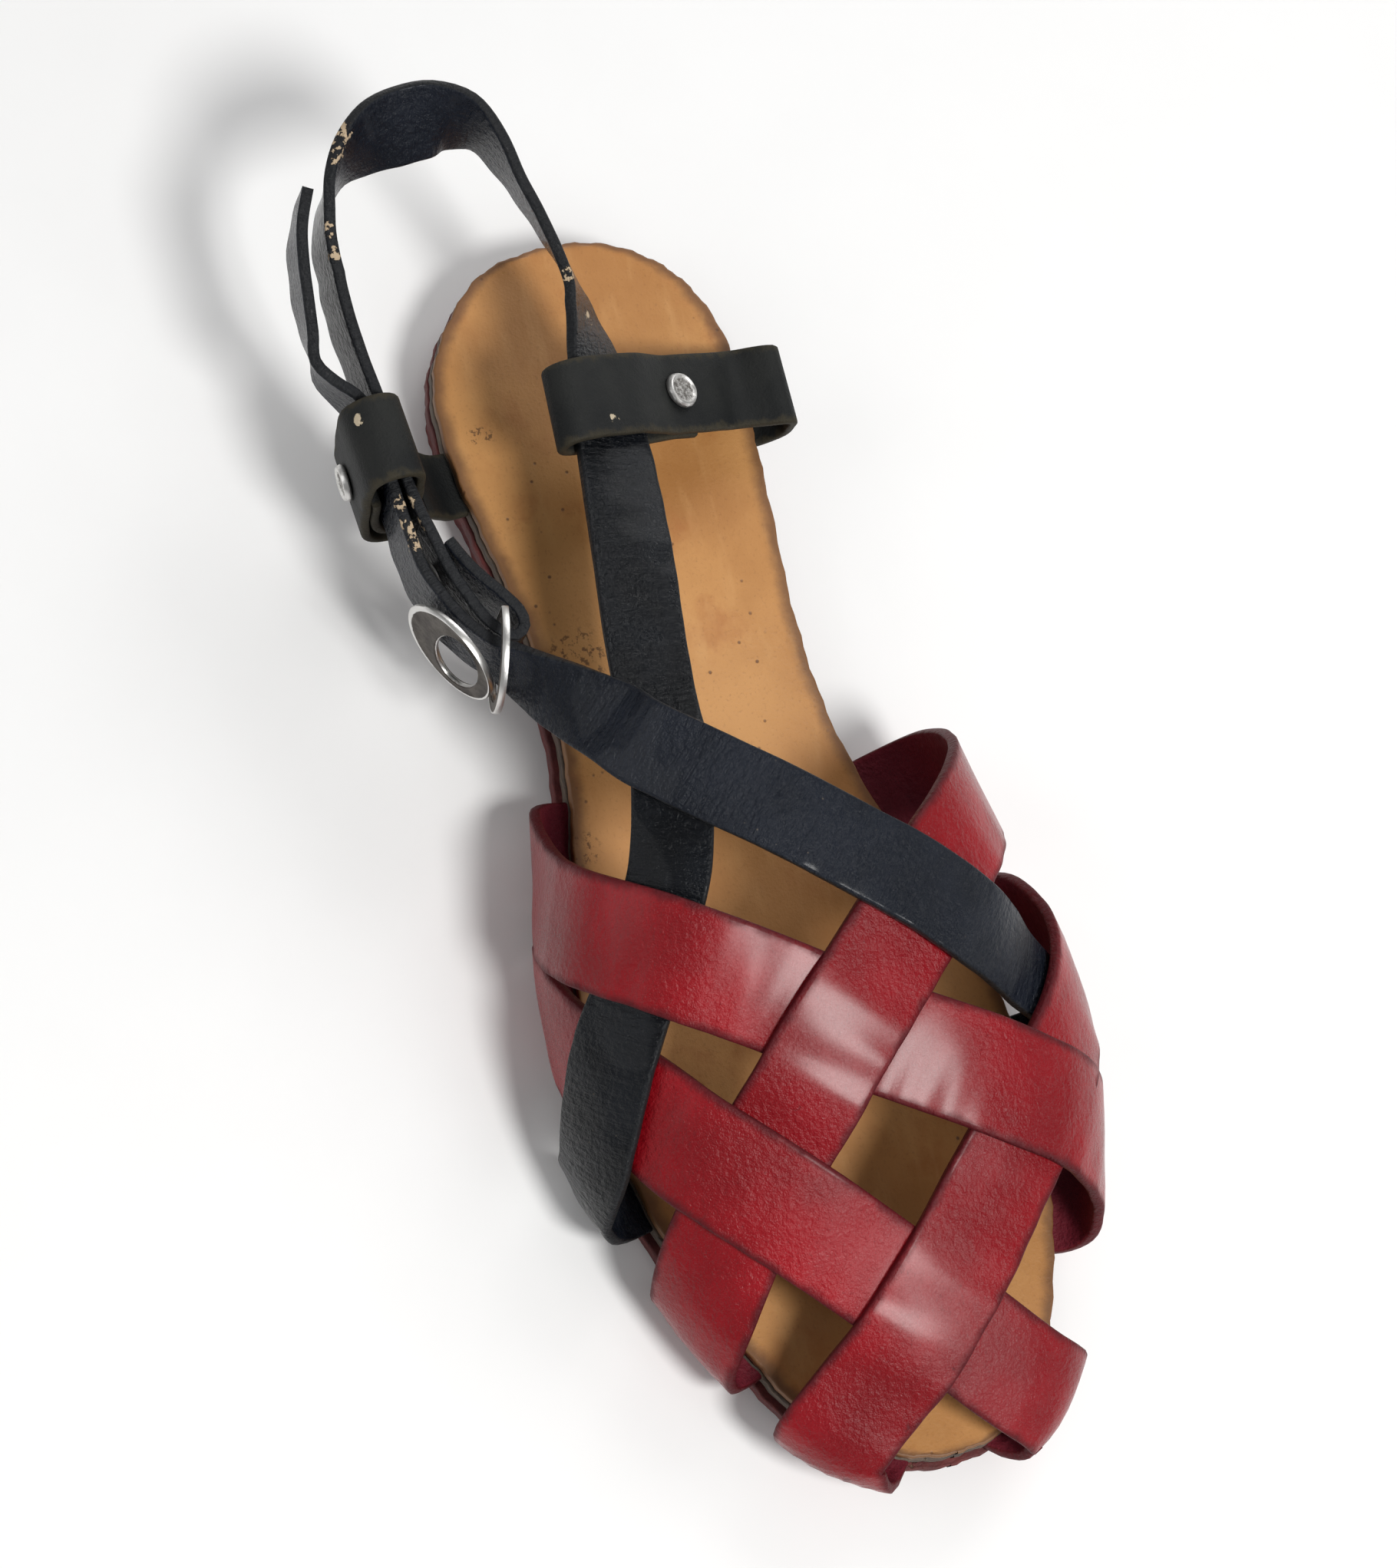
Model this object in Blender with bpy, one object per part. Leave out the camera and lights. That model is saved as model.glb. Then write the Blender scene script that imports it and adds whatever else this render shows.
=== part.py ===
"""A right-foot strap sandal: three-layer sole with a heel lift, woven red vamp, black instep and ankle straps.

Metres, +X towards the toe, +Y towards the inner side of the foot, +Z up. The origin is on the floor under
the middle of the heel.
"""

import math

import bpy
import numpy as np

# Sole
INSOLE_LENGTH = 0.2525
BALL_WIDTH = 0.087
HEEL_CENTRE = 0.11  # share of INSOLE_LENGTH from the back of the heel to the origin
OUTSOLE_THICK = 0.0034
MIDSOLE_THICK = 0.0030
INSOLE_THICK = 0.0025
HEEL_RISE = 0.0075
TOE_SPRING = 0.0055
SEAM = 0.0003  # gap left between pieces that touch
OUTSOLE_RIM = 0.0018  # how far the outsole stands past the insole at the forefoot

# Upper
INSTEP_HEIGHT = 0.062
RED_WIDTH = 0.0215
RED_THICK = 0.0022
BLACK_WIDTH = 0.016
BLACK_THICK = 0.0022
TUCK = 0.008  # strap end held between insole and outsole
FULLNESS = 2.25  # power of the cross-section of the last
STEP = 0.0050  # spacing of rows along a strap

# Keepers, rings and rivets
KEEPER_WIDTH = 0.017
KEEPER_THICK = 0.0018
LOOP_UNIT = 1.0625 * BLACK_WIDTH  # the keepers' loops fit round the black straps
RING_RADIUS = 0.0111
RING_THICK = 0.0013
RING_BAR = 0.0015
RIVET_RADIUS = 0.0037
SHANK_RADIUS = 0.0014

# Insole edge: share of INSOLE_LENGTH, outer side and inner side in shares of BALL_WIDTH
EDGE = (
    (0.000, 0.000, 0.000),
    (0.012, -0.195, 0.144),
    (0.040, -0.293, 0.247),
    (0.100, -0.389, 0.324),
    (0.170, -0.393, 0.331),
    (0.250, -0.351, 0.322),
    (0.330, -0.308, 0.313),
    (0.420, -0.293, 0.343),
    (0.500, -0.328, 0.414),
    (0.580, -0.380, 0.500),
    (0.660, -0.397, 0.577),
    (0.740, -0.370, 0.603),
    (0.820, -0.305, 0.572),
    (0.900, -0.205, 0.503),
    (0.960, -0.098, 0.410),
    (0.990, 0.035, 0.310),
    (1.000, 0.172, 0.172),
)

# Last: share of INSOLE_LENGTH, height of the widest line and of the ridge in shares of INSTEP_HEIGHT, place of
# the ridge across, bulge past the insole on the outer and inner side in shares of BALL_WIDTH
LAST = (
    (0.36, 0.36, 1.000, 0.52, 0.095, 0.135),
    (0.45, 0.34, 0.970, 0.53, 0.095, 0.130),
    (0.55, 0.28, 0.910, 0.54, 0.088, 0.110),
    (0.65, 0.235, 0.810, 0.56, 0.085, 0.085),
    (0.75, 0.205, 0.680, 0.58, 0.085, 0.075),
    (0.84, 0.19, 0.565, 0.60, 0.080, 0.065),
    (0.92, 0.185, 0.475, 0.60, 0.070, 0.055),
    (1.00, 0.19, 0.400, 0.60, 0.060, 0.050),
)

# Routes over the last: share of the way across from the outer tuck to the inner one, place along the last
# (0 heel, 1 toe, as an angle), lift off the last in shares of RED_THICK
P1_ROUTE = (
    (0.00, 0.492, 0.0),
    (0.07, 0.494, 0.0),
    (0.15, 0.522, 0.0),
    (0.24, 0.547, 1.4),
    (0.30, 0.5635, 1.5),
    (0.345, 0.578, 1.4),
    (0.40, 0.596, 0.25),
    (0.46, 0.615, 0.0),
    (0.54, 0.637, 0.15),
    (0.61, 0.655, 1.0),
    (0.665, 0.669, 1.2),
    (0.72, 0.681, 1.15),
    (0.82, 0.705, 0.3),
    (0.93, 0.728, 0.0),
    (1.00, 0.730, 0.0),
)
P2_ROUTE = (
    (0.00, 0.558, 0.0),
    (0.07, 0.560, 0.0),
    (0.13, 0.583, -0.3),
    (0.165, 0.598, -0.4),
    (0.225, 0.625, -0.3),
    (0.28, 0.658, 0.8),
    (0.31, 0.675, 0.85),
    (0.355, 0.701, 0.8),
    (0.42, 0.740, 0.1),
    (0.49, 0.780, 0.0),
    (0.63, 0.848, 0.0),
    (0.76, 0.888, 0.0),
    (0.90, 0.905, 0.0),
    (1.00, 0.907, 0.0),
)
Q1_ROUTE = (
    (0.00, 0.768, 0.0),
    (0.07, 0.766, 0.0),
    (0.17, 0.746, 0.0),
    (0.305, 0.6895, 0.0),
    (0.375, 0.660, 0.1),
    (0.41, 0.645, 0.8),
    (0.45, 0.627, 0.85),
    (0.485, 0.613, 0.8),
    (0.545, 0.591, 0.0),
    (0.60, 0.570, 0.0),
    (0.76, 0.522, 0.0),
    (0.93, 0.500, 0.0),
    (1.00, 0.498, 0.0),
)
Q2_ROUTE = (
    (0.00, 0.905, 0.0),
    (0.10, 0.902, 0.0),
    (0.25, 0.864, 0.0),
    (0.38, 0.824, 0.1),
    (0.43, 0.805, 0.8),
    (0.485, 0.780, 0.85),
    (0.54, 0.753, 0.8),
    (0.60, 0.722, 0.1),
    (0.65, 0.694, 0.2),
    (0.695, 0.669, 0.9),
    (0.735, 0.650, 0.95),
    (0.775, 0.632, 0.9),
    (0.85, 0.597, 0.85),
    (0.89, 0.582, 0.4),
    (0.93, 0.576, 0.0),
    (1.00, 0.575, 0.0),
)
INSTEP_ROUTE = (
    (1.00, 0.641, 0.0),
    (0.93, 0.641, 0.0),
    (0.88, 0.640, -0.4),
    (0.84, 0.636, -0.5),
    (0.735, 0.620, -0.5),
    (0.69, 0.606, -0.3),
    (0.66, 0.597, 0.9),
    (0.632, 0.587, 1.4),
    (0.585, 0.567, 1.35),
    (0.535, 0.549, 1.2),
    (0.47, 0.525, 0.9),
    (0.40, 0.498, 0.8),
    (0.34, 0.472, 0.6),
)
ANKLE_ROUTE = (
    (0.00, 0.668, 0.0),
    (0.05, 0.668, 0.0),
    (0.07, 0.668, 0.02),
    (0.085, 0.667, 0.3),
    (0.115, 0.661, 1.35),
    (0.15, 0.652, 1.5),
    (0.20, 0.625, 1.3),
    (0.24, 0.600, 1.05),
    (0.27, 0.581, 0.0),
    (0.30, 0.562, -0.4),
    (0.337, 0.534, -0.7),
    (0.352, 0.512, -0.9),
)

# Free runs: x in shares of INSOLE_LENGTH, y in shares of BALL_WIDTH, z in shares of INSTEP_HEIGHT, lean of the
# strap in degrees (0 flat, -90 on edge), width in shares of BLACK_WIDTH
ANKLE_RUN = (
    (0.3450, -0.174, 0.766, 4, 0.96),
    (0.3100, -0.166, 0.730, 2, 0.96),
    (0.2550, -0.153, 0.720, 0, 0.98),
    (0.2000, -0.134, 0.715, -4, 1.0),
    (0.1450, -0.117, 0.700, -10, 1.0),
    (0.1000, -0.104, 0.685, -18, 1.0),
    (0.0620, -0.094, 0.672, -29, 1.0),
    (0.0240, -0.090, 0.664, -41, 0.97),
    (0.0000, -0.094, 0.670, -52, 0.92),
    (-0.0360, -0.106, 0.702, -66, 0.90),
    (-0.0780, -0.153, 0.766, -73, 0.90),
    (-0.1150, -0.204, 0.823, -78, 0.90),
    (-0.1420, -0.250, 0.875, -86, 0.94),
    (-0.1560, -0.308, 0.900, -108, 0.97),
    (-0.1590, -0.370, 0.915, -127, 0.98),
    (-0.1570, -0.439, 0.915, -132, 0.98),
    (-0.1520, -0.500, 0.907, -124, 0.98),
    (-0.1425, -0.555, 0.883, -108, 0.96),
    (-0.1290, -0.602, 0.852, -95, 0.95),
    (-0.1070, -0.632, 0.820, -89, 0.95),
    (-0.0850, -0.6460, 0.787, -89, 0.95),
    (-0.0469, -0.6430, 0.735, -90, 0.96),
    (-0.0195, -0.6300, 0.676, -92, 0.98),
    (0.0104, -0.6090, 0.618, -93, 0.99),
    (0.0400, -0.5900, 0.595, -94, 1.0),
    (0.0760, -0.5790, 0.575, -94, 1.0),
    (0.1130, -0.5690, 0.575, -92, 1.0),
    (0.1570, -0.5460, 0.585, -90, 0.97),
    (0.1800, -0.5290, 0.592, -90, 0.92),
    (0.1980, -0.5080, 0.598, -90, 0.85),
    (0.2160, -0.4830, 0.602, -90, 0.76),
)
FOLD_RUN = (
    (0.2290, -0.4510, 0.604, -90, 0.71),
    (0.2335, -0.4240, 0.604, -90, 0.70),
    (0.2270, -0.4010, 0.604, -90, 0.70),
    (0.2150, -0.4040, 0.603, -90, 0.73),
    (0.2010, -0.4320, 0.600, -90, 0.82),
    (0.1870, -0.4650, 0.596, -89, 0.92),
    (0.1710, -0.4940, 0.590, -88, 0.98),
    (0.1545, -0.5160, 0.585, -88, 0.98),
)
INSTEP_RUN = (
    (0.321, -0.284, 0.803, 22, 1.0),
    (0.293, -0.350, 0.720, 40, 0.90),
    (0.270, -0.402, 0.650, 60, 0.84),
    (0.254, -0.434, 0.612, 74, 0.82),
    (0.243, -0.462, 0.595, 82, 0.82),
    (0.232, -0.494, 0.590, 86, 0.86),
    (0.214, -0.533, 0.582, 87, 0.90),
    (0.192, -0.565, 0.578, 88, 0.92),
    (0.172, -0.586, 0.575, 90, 0.93),
    (0.148, -0.597, 0.574, 90, 0.94),
    (0.114, -0.6040, 0.574, 92, 0.96),
    (0.0765, -0.6100, 0.575, 94, 1.0),
    (0.0395, -0.6210, 0.593, 94, 1.0),
    (0.0220, -0.6560, 0.618, 97, 1.0),
    (0.0090, -0.6900, 0.645, 102, 1.0),
    (-0.0060, -0.7090, 0.672, 106, 1.0),
    (-0.0260, -0.7130, 0.702, 96, 0.96),
    (-0.0485, -0.7150, 0.742, 92, 0.95),
    (-0.0820, -0.7080, 0.790, 90, 0.90),
    (-0.1030, -0.6920, 0.842, 88, 0.62),
    (-0.1210, -0.6680, 0.884, 88, 0.16),
)

# Keeper profiles in the plane across the strap they hold: towards the inner side and up, in shares of
# LOOP_UNIT, measured from the middle of the held straps
OUTER_LOOP = (
    (0.30, -0.95),
    (0.05, -0.95),
    (-0.20, -0.90),
    (-0.355, -0.68),
    (-0.385, -0.25),
    (-0.385, 0.15),
    (-0.345, 0.55),
    (-0.17, 0.695),
    (0.08, 0.695),
    (0.218, 0.55),
    (0.227, 0.10),
    (0.222, -0.25),
    (0.205, -0.54),
    (0.08, -0.70),
    (-0.10, -0.71),
    (-0.235, -0.56),
    (-0.267, -0.25),
    (-0.267, 0.08),
)
KEEPER_LEAN = 4  # degrees that the outer keeper and the straps in it lean outwards
# The same for the inner keeper: along the keeper towards its looped end, and square to it
INNER_LOOP = (
    (-2.15, 0.05),
    (-1.65, 0.05),
    (-1.25, 0.075),
    (-0.95, 0.08),
    (-0.65, 0.155),
    (-0.35, 0.228),
    (0.10, 0.243),
    (0.50, 0.222),
    (0.70, 0.13),
    (0.76, 0.0),
    (0.70, -0.13),
    (0.50, -0.222),
    (0.10, -0.243),
    (-0.35, -0.228),
    (-0.65, -0.15),
    (-0.95, -0.075),
    (-1.20, -0.075),
    (-1.42, -0.075),
)
# Keepers, in shares of INSOLE_LENGTH: the notch in the sole from the back of the heel, the loop from the origin
OUTER_KEEPER_AT = (0.1815, 0.0750)
INNER_KEEPER_AT = (0.160, 0.064)
OUTER_SKEW = (0.0, -0.1)  # slant of each loop along the held strap, for a step across and a step up
INNER_SKEW = (0.19, 0.0)

# Places of small pieces, x, y and z in shares of INSOLE_LENGTH, BALL_WIDTH and INSTEP_HEIGHT
FOLD_RIVET_AT = ((0.1648, -0.5397, 0.5855), (0.1608, -0.5075, 0.5855))  # strap and flap at the rivet
THREADED_RING_AT = (0.2166, -0.4414, 0.6097)  # the bar in the fold
RESTING_RING_AT = (0.2283, -0.5525, 0.5565)
THREADED_HOLE = (0.80, 0.80, 0.0, 0.505)  # half height, half length, shift, reach of the bar, in shares of RING_RADIUS
RESTING_HOLE = (0.81, 0.486, 0.198, 0.0)

LAST_GRID = {}


def clearScene():
    for item in list(bpy.data.objects):
        bpy.data.objects.remove(item, do_unlink=True)


def material(name, colour, rough, metal=0.0):
    made = bpy.data.materials.new(name)
    made.use_nodes = True
    shader = made.node_tree.nodes["Principled BSDF"]
    shader.inputs["Base Color"].default_value = (*colour, 1.0)
    shader.inputs["Roughness"].default_value = rough
    shader.inputs["Metallic"].default_value = metal
    return made


def smooth(rows, column, at):
    """Cubic through one column of a table, keyed by the first column, straight past its ends."""
    keys = [row[0] for row in rows]
    values = [row[column] for row in rows]
    if keys[0] > keys[-1]:
        keys, values = keys[::-1], values[::-1]
    steps = [b - a for a, b in zip(keys, keys[1:])]
    rates = [(b - a) / step for a, b, step in zip(values, values[1:], steps)]
    if at <= keys[0]:
        return values[0] + rates[0] * (at - keys[0])
    if at >= keys[-1]:
        return values[-1] + rates[-1] * (at - keys[-1])
    slopes = [rates[0]]
    for i in range(1, len(rates)):
        slopes.append((rates[i - 1] * steps[i] + rates[i] * steps[i - 1]) / (steps[i - 1] + steps[i]))
    slopes.append(rates[-1])
    i = max(k for k in range(len(steps)) if keys[k] <= at)
    q = (at - keys[i]) / steps[i]
    start = (2 * q**3 - 3 * q**2 + 1) * values[i] + (q**3 - 2 * q**2 + q) * steps[i] * slopes[i]
    end = (3 * q**2 - 2 * q**3) * values[i + 1] + (q**3 - q**2) * steps[i] * slopes[i + 1]
    return start + end


def around(share):
    return math.acos(1 - 2 * share) / math.pi


def alongShare(place):
    return (1 - math.cos(math.pi * place)) / 2


EDGE_BY_PLACE = tuple((around(share), outer, inner) for share, outer, inner in EDGE)


def edgePoint(place, side):
    column = 1 if side < 0 else 2
    across = smooth(EDGE_BY_PLACE, column, place) * BALL_WIDTH
    return np.array([(alongShare(place) - HEEL_CENTRE) * INSOLE_LENGTH, across])


def edgeNormal(place, side):
    if place < 1e-6:
        return np.array([-1.0, 0.0])
    if place > 1 - 1e-6:
        return np.array([1.0, 0.0])
    before, after = max(0.0, place - 0.004), min(1.0, place + 0.004)
    run = edgePoint(after, side) - edgePoint(before, side)
    run /= np.linalg.norm(run)
    return np.array([-run[1], run[0]]) * (1 if side > 0 else -1)


def bottom(x):
    """Height of the underside of the outsole: flat on the heel lift, down through the waist, flat ball, toe spring."""
    share = x / INSOLE_LENGTH + HEEL_CENTRE
    if share < 0.27:
        return HEEL_RISE
    if share < 0.54:
        t = (share - 0.27) / 0.27
        return HEEL_RISE * (1 - t * t * (3 - 2 * t))
    if share < 0.78:
        return 0.0
    return TOE_SPRING * ((share - 0.78) / 0.22) ** 1.7


def strapRoot(x):
    return bottom(x) + OUTSOLE_THICK + SEAM + MIDSOLE_THICK - 0.0002


def lastSection(place):
    """One line across the last: inwards end of the outer tuck, round the foot, to the end of the inner tuck."""
    share = alongShare(place)
    widest, apex, ridge, outerBulge, innerBulge = [smooth(LAST, column, share) for column in range(1, 6)]
    ends = [edgePoint(place, side) for side in (-1, 1)]
    normals = [edgeNormal(place, side) for side in (-1, 1)]
    bulges = [outerBulge * BALL_WIDTH, innerBulge * BALL_WIDTH]
    sides = [end + normal * bulge for end, normal, bulge in zip(ends, normals, bulges)]
    top = sides[0] + (sides[1] - sides[0]) * ridge
    wideHeight = bottom(ends[0][0]) + widest * INSTEP_HEIGHT
    fall = max(0.0, (share - 0.90) / 0.10)
    topHeight = wideHeight + (apex * INSTEP_HEIGHT - wideHeight) * math.sqrt(max(0.0, 1 - fall**2.2))
    halves = []
    for end, normal, bulge, side in zip(ends, normals, bulges, sides):
        half = []
        for i in range(25):
            angle = i / 24 * math.pi / 2
            out = math.sin(angle) ** (2 / FULLNESS)
            up = max(0.0, math.cos(angle)) ** (2 / FULLNESS)
            plan = top + (side - top) * out
            half.append((*plan, wideHeight + (topHeight - wideHeight) * up))
        low = strapRoot(end[0])
        for i in range(1, 13):
            angle = i / 12 * math.pi / 2
            plan = end + normal * bulge * math.cos(angle)
            half.append((*plan, wideHeight - (wideHeight - low) * math.sin(angle)))
        for i in range(1, 5):
            plan = end - normal * TUCK * i / 4
            half.append((*plan, strapRoot(plan[0])))
        halves.append(half)
    return np.array(halves[0][::-1][:-1] + halves[1])


def buildLast(first=0.40, final=0.999, count=121):
    """The last as a grid of points at even steps along and across, with its outward normals."""
    grid = np.zeros((count, count, 3))
    for i in range(count):
        line = lastSection(first + (final - first) * i / (count - 1))
        run = np.concatenate([[0], np.cumsum(np.linalg.norm(np.diff(line, axis=0), axis=1))])
        for axis in range(3):
            grid[i, :, axis] = np.interp(np.linspace(0, run[-1], count), run, line[:, axis])
    normals = np.cross(np.gradient(grid, axis=0), np.gradient(grid, axis=1))
    normals /= np.maximum(np.linalg.norm(normals, axis=2, keepdims=True), 1e-12)
    if normals[count // 2, count // 2, 2] < 0:
        normals = -normals
    LAST_GRID.update(grid=grid, normals=normals, first=first, final=final, count=count)


def sample(field, place, across):
    count = LAST_GRID["count"]
    i = min(max((place - LAST_GRID["first"]) / (LAST_GRID["final"] - LAST_GRID["first"]), 0.0), 1.0) * (count - 1)
    j = min(max(across, 0.0), 1.0) * (count - 1)
    a, b = min(int(i), count - 2), min(int(j), count - 2)
    i, j = i - a, j - b
    f = LAST_GRID[field]
    low = f[a, b] * (1 - j) + f[a, b + 1] * j
    high = f[a + 1, b] * (1 - j) + f[a + 1, b + 1] * j
    return low * (1 - i) + high * i


def slopes(place, across):
    e = 0.006
    along = (sample("grid", place + e, across) - sample("grid", place - e, across)) / (2 * e)
    low, high = max(0.0, across - e), min(1.0, across + e)
    over = (sample("grid", place, high) - sample("grid", place, low)) / (high - low)
    return along, over


def unit(vector):
    return vector / max(np.linalg.norm(vector), 1e-12)


def routeLanes(route, width, thick, lanes, rows=None):
    """Rows of points on the middle of a strap laid over the last, rear edge first."""
    made = []
    keys = rows or [row[0] for row in route]
    for across in keys:
        place = smooth(route, 1, across)
        rate = (smooth(route, 1, across + 0.01) - smooth(route, 1, across - 0.01)) / 0.02
        if across < 0.05 or across > 0.95:
            rate = 0.0
        along, over = slopes(place, across)
        heading = along * rate + over
        normal = unit(sample("normals", place, across))
        out = unit(np.cross(normal, heading))
        if out[0] * along[0] < 0:
            out = -out
        lift = smooth(route, 2, across) * RED_THICK + thick / 2
        row = []
        for lane in range(lanes + 1):
            reach = (lane / lanes - 0.5) * width
            p, w = place, across
            for _ in range(4):
                along, over = slopes(p, w)
                step, *_ = np.linalg.lstsq(np.stack([along, over], axis=1), out * reach / 4, rcond=None)
                gone = np.linalg.norm(along * step[0] + over * step[1])
                step *= abs(reach / 4) / max(gone, 1e-9)
                p, w = p + step[0], w + step[1]
            row.append(sample("grid", p, w) + unit(sample("normals", p, w)) * lift)
        made.append(row)
    return np.array(made)


def leaningLanes(rows, width, lanes, first=None):
    """Rows of points on the middle of a strap that runs free, from centres, leans and widths."""
    centres = [placed(row) for row in rows]
    before = [first] if first is not None else []
    line = before + centres
    made = []
    for i, row in enumerate(rows):
        k = i + len(before)
        heading = unit(line[min(k + 1, len(line) - 1)] - line[max(k - 1, 0)])
        side = unit(np.cross(heading, (0, 0, 1)))
        up = np.cross(side, heading)
        lean = math.radians(row[3])
        out = side * math.cos(lean) + up * math.sin(lean)
        half = width * row[4] / 2
        made.append([centres[i] + out * half * (2 * lane / lanes - 1) for lane in range(lanes + 1)])
    return np.array(made)


def refine(lanes, step=STEP):
    """Even rows along a strap, by a cubic through each lane."""
    middle = lanes.mean(axis=1)
    run = np.concatenate([[0], np.cumsum(np.linalg.norm(np.diff(middle, axis=0), axis=1))])
    made = []
    for i in range(len(lanes) - 1):
        gap = run[i + 1] - run[i]
        parts = max(1, round(gap / step))
        a = (lanes[i + 1] - lanes[i - 1]) / (run[i + 1] - run[i - 1]) * gap if i else lanes[1] - lanes[0]
        last = i + 2 >= len(lanes)
        b = lanes[i + 1] - lanes[i] if last else (lanes[i + 2] - lanes[i]) / (run[i + 2] - run[i]) * gap
        for k in range(parts):
            q = k / parts
            made.append(
                (2 * q**3 - 3 * q**2 + 1) * lanes[i]
                + (q**3 - 2 * q**2 + q) * a
                + (3 * q**2 - 2 * q**3) * lanes[i + 1]
                + (q**3 - q**2) * b
            )
    made.append(lanes[-1])
    return np.array(made)


def laneNormals(lanes):
    along = np.gradient(lanes, axis=0)
    over = np.gradient(lanes, axis=1)
    normals = np.cross(over, along)
    return normals / np.maximum(np.linalg.norm(normals, axis=2, keepdims=True), 1e-12)


def addMesh(name, points, faces, look, sharp=30):
    mesh = bpy.data.meshes.new(name)
    mesh.from_pydata([tuple(map(float, p)) for p in points], [], faces)
    mesh.validate()
    mesh.materials.append(look)
    made = bpy.data.objects.new(name, mesh)
    bpy.context.scene.collection.objects.link(made)
    mesh.shade_smooth()
    mesh.set_sharp_from_angle(angle=math.radians(sharp))
    return made


def volume(points, faces):
    total = 0.0
    for face in faces:
        for i in range(1, len(face) - 1):
            total += np.dot(points[face[0]], np.cross(points[face[i]], points[face[i + 1]]))
    return total


def strapSolid(name, lanes, thick, look):
    """A closed strap from the rows on its middle."""
    normals = laneNormals(lanes)
    rows, across = lanes.shape[0], lanes.shape[1]
    halves = [(lanes + normals * side * thick / 2).reshape(-1, 3) for side in (1, -1)]
    points = np.concatenate(halves)
    under = rows * across
    faces = []
    for i in range(rows - 1):
        for j in range(across - 1):
            a, b, c, d = i * across + j, i * across + j + 1, (i + 1) * across + j + 1, (i + 1) * across + j
            faces.append((a, b, c, d))
            faces.append((under + d, under + c, under + b, under + a))
        for j, flip in ((0, False), (across - 1, True)):
            a, b = i * across + j, (i + 1) * across + j
            side = (a, b, under + b, under + a)
            faces.append(side[::-1] if flip else side)
    for j in range(across - 1):
        a, b = j, j + 1
        faces.append((b, a, under + a, under + b))
        a, b = (rows - 1) * across + j, (rows - 1) * across + j + 1
        faces.append((a, b, under + b, under + a))
    if volume(points, faces) < 0:
        faces = [face[::-1] for face in faces]
    return addMesh(name, points, faces, look)


def soleLoop(rim):
    """Rows of outline points from the heel tip to the toe tip, outer and inner side, moved out by rim(place)."""
    rows = []
    for i in range(47):
        place = i / 46
        pair = []
        for side in (-1, 1):
            pair.append(edgePoint(place, side) + edgeNormal(place, side) * rim(place))
        rows.append(pair)
    return rows


def soleLayer(name, low, high, rim, look, first=0, final=46, across=4):
    """A slab between two heights above the underside of the outsole, over the outline moved out by rim."""
    rows = soleLoop(rim)[first : final + 1]
    points, index = [], []
    for i, (outer, inner) in enumerate(rows):
        if np.linalg.norm(inner - outer) < 1e-6:
            points.append(outer)
            index.append([len(points) - 1] * (across + 1))
            continue
        start = len(points)
        points += [outer + (inner - outer) * j / across for j in range(across + 1)]
        index.append(list(range(start, start + across + 1)))
    count = len(points)
    solid = [(x, y, high(x)) for x, y in points] + [(x, y, low(x)) for x, y in points]
    faces = []

    def add(*face):
        kept = [v for k, v in enumerate(face) if v != face[k - 1]]
        if len(kept) > 2:
            faces.append(tuple(kept))

    for a, b in zip(index, index[1:]):
        for j in range(across):
            add(a[j], b[j], b[j + 1], a[j + 1])
            add(count + a[j + 1], count + b[j + 1], count + b[j], count + a[j])
        add(a[0], count + a[0], count + b[0], b[0])
        add(a[across], b[across], count + b[across], count + a[across])
    for row, turn in ((index[0], 1), (index[-1], -1)):
        if row[0] != row[1]:
            for j in range(across):
                face = (row[j], row[j + 1], count + row[j + 1], count + row[j])[::turn]
                add(*face)
    solid = np.array(solid)
    if volume(solid, faces) < 0:
        faces = [face[::-1] for face in faces]
    return addMesh(name, solid, faces, look)


def prism(name, plan, low, high, look):
    """A cutter with a plan outline."""
    points = [(x, y, low) for x, y in plan] + [(x, y, high) for x, y in plan]
    n = len(plan)
    faces = [tuple(range(n))[::-1], tuple(range(n, 2 * n))]
    faces += [(i, (i + 1) % n, n + (i + 1) % n, n + i) for i in range(n)]
    if volume(np.array(points), faces) < 0:
        faces = [face[::-1] for face in faces]
    cutter = addMesh(name, points, faces, look)
    cutter.hide_render = True
    cutter.display_type = "WIRE"
    return cutter


def notch(name, lanes, at, ahead, look):
    """A cutter for the midsole round the tucked end of a strap, from its end row past its row at the sole edge."""
    end, edge = lanes[at], lanes[at + ahead]
    spread = 0.0011
    plan = []
    for lane in (0, -1):
        side = unit(end[lane][:2] - end[len(end) // 2][:2]) * spread
        inwards = unit(end[lane][:2] - edge[lane][:2]) * 0.0008
        plan.append((end[lane][:2] + side + inwards, edge[lane][:2] + side, edge[lane][:2] + side - inwards * 12))
    outline = [*plan[0], *plan[1][::-1]]
    return prism(name, outline, -0.01, 0.05, look)


def cylinder(name, centre, axis, radius, length, look, sides=20):
    """A cutter for a rivet hole."""
    axis = unit(np.array(axis))
    across = unit(np.cross(axis, (0.3, 0.2, 1.0)))
    up = np.cross(axis, across)
    points, faces = [], []
    for end in (-0.5, 0.5):
        for k in range(sides):
            angle = 2 * math.pi * k / sides
            points.append(centre + axis * length * end + (across * math.cos(angle) + up * math.sin(angle)) * radius)
    faces.append(tuple(range(sides)))
    faces.append(tuple(range(sides, 2 * sides))[::-1])
    faces += [((k + 1) % sides, k, sides + k, sides + (k + 1) % sides) for k in range(sides)]
    if volume(np.array(points), faces) < 0:
        faces = [face[::-1] for face in faces]
    cutter = addMesh(name, points, faces, look)
    cutter.hide_render = True
    cutter.display_type = "WIRE"
    return cutter


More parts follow.
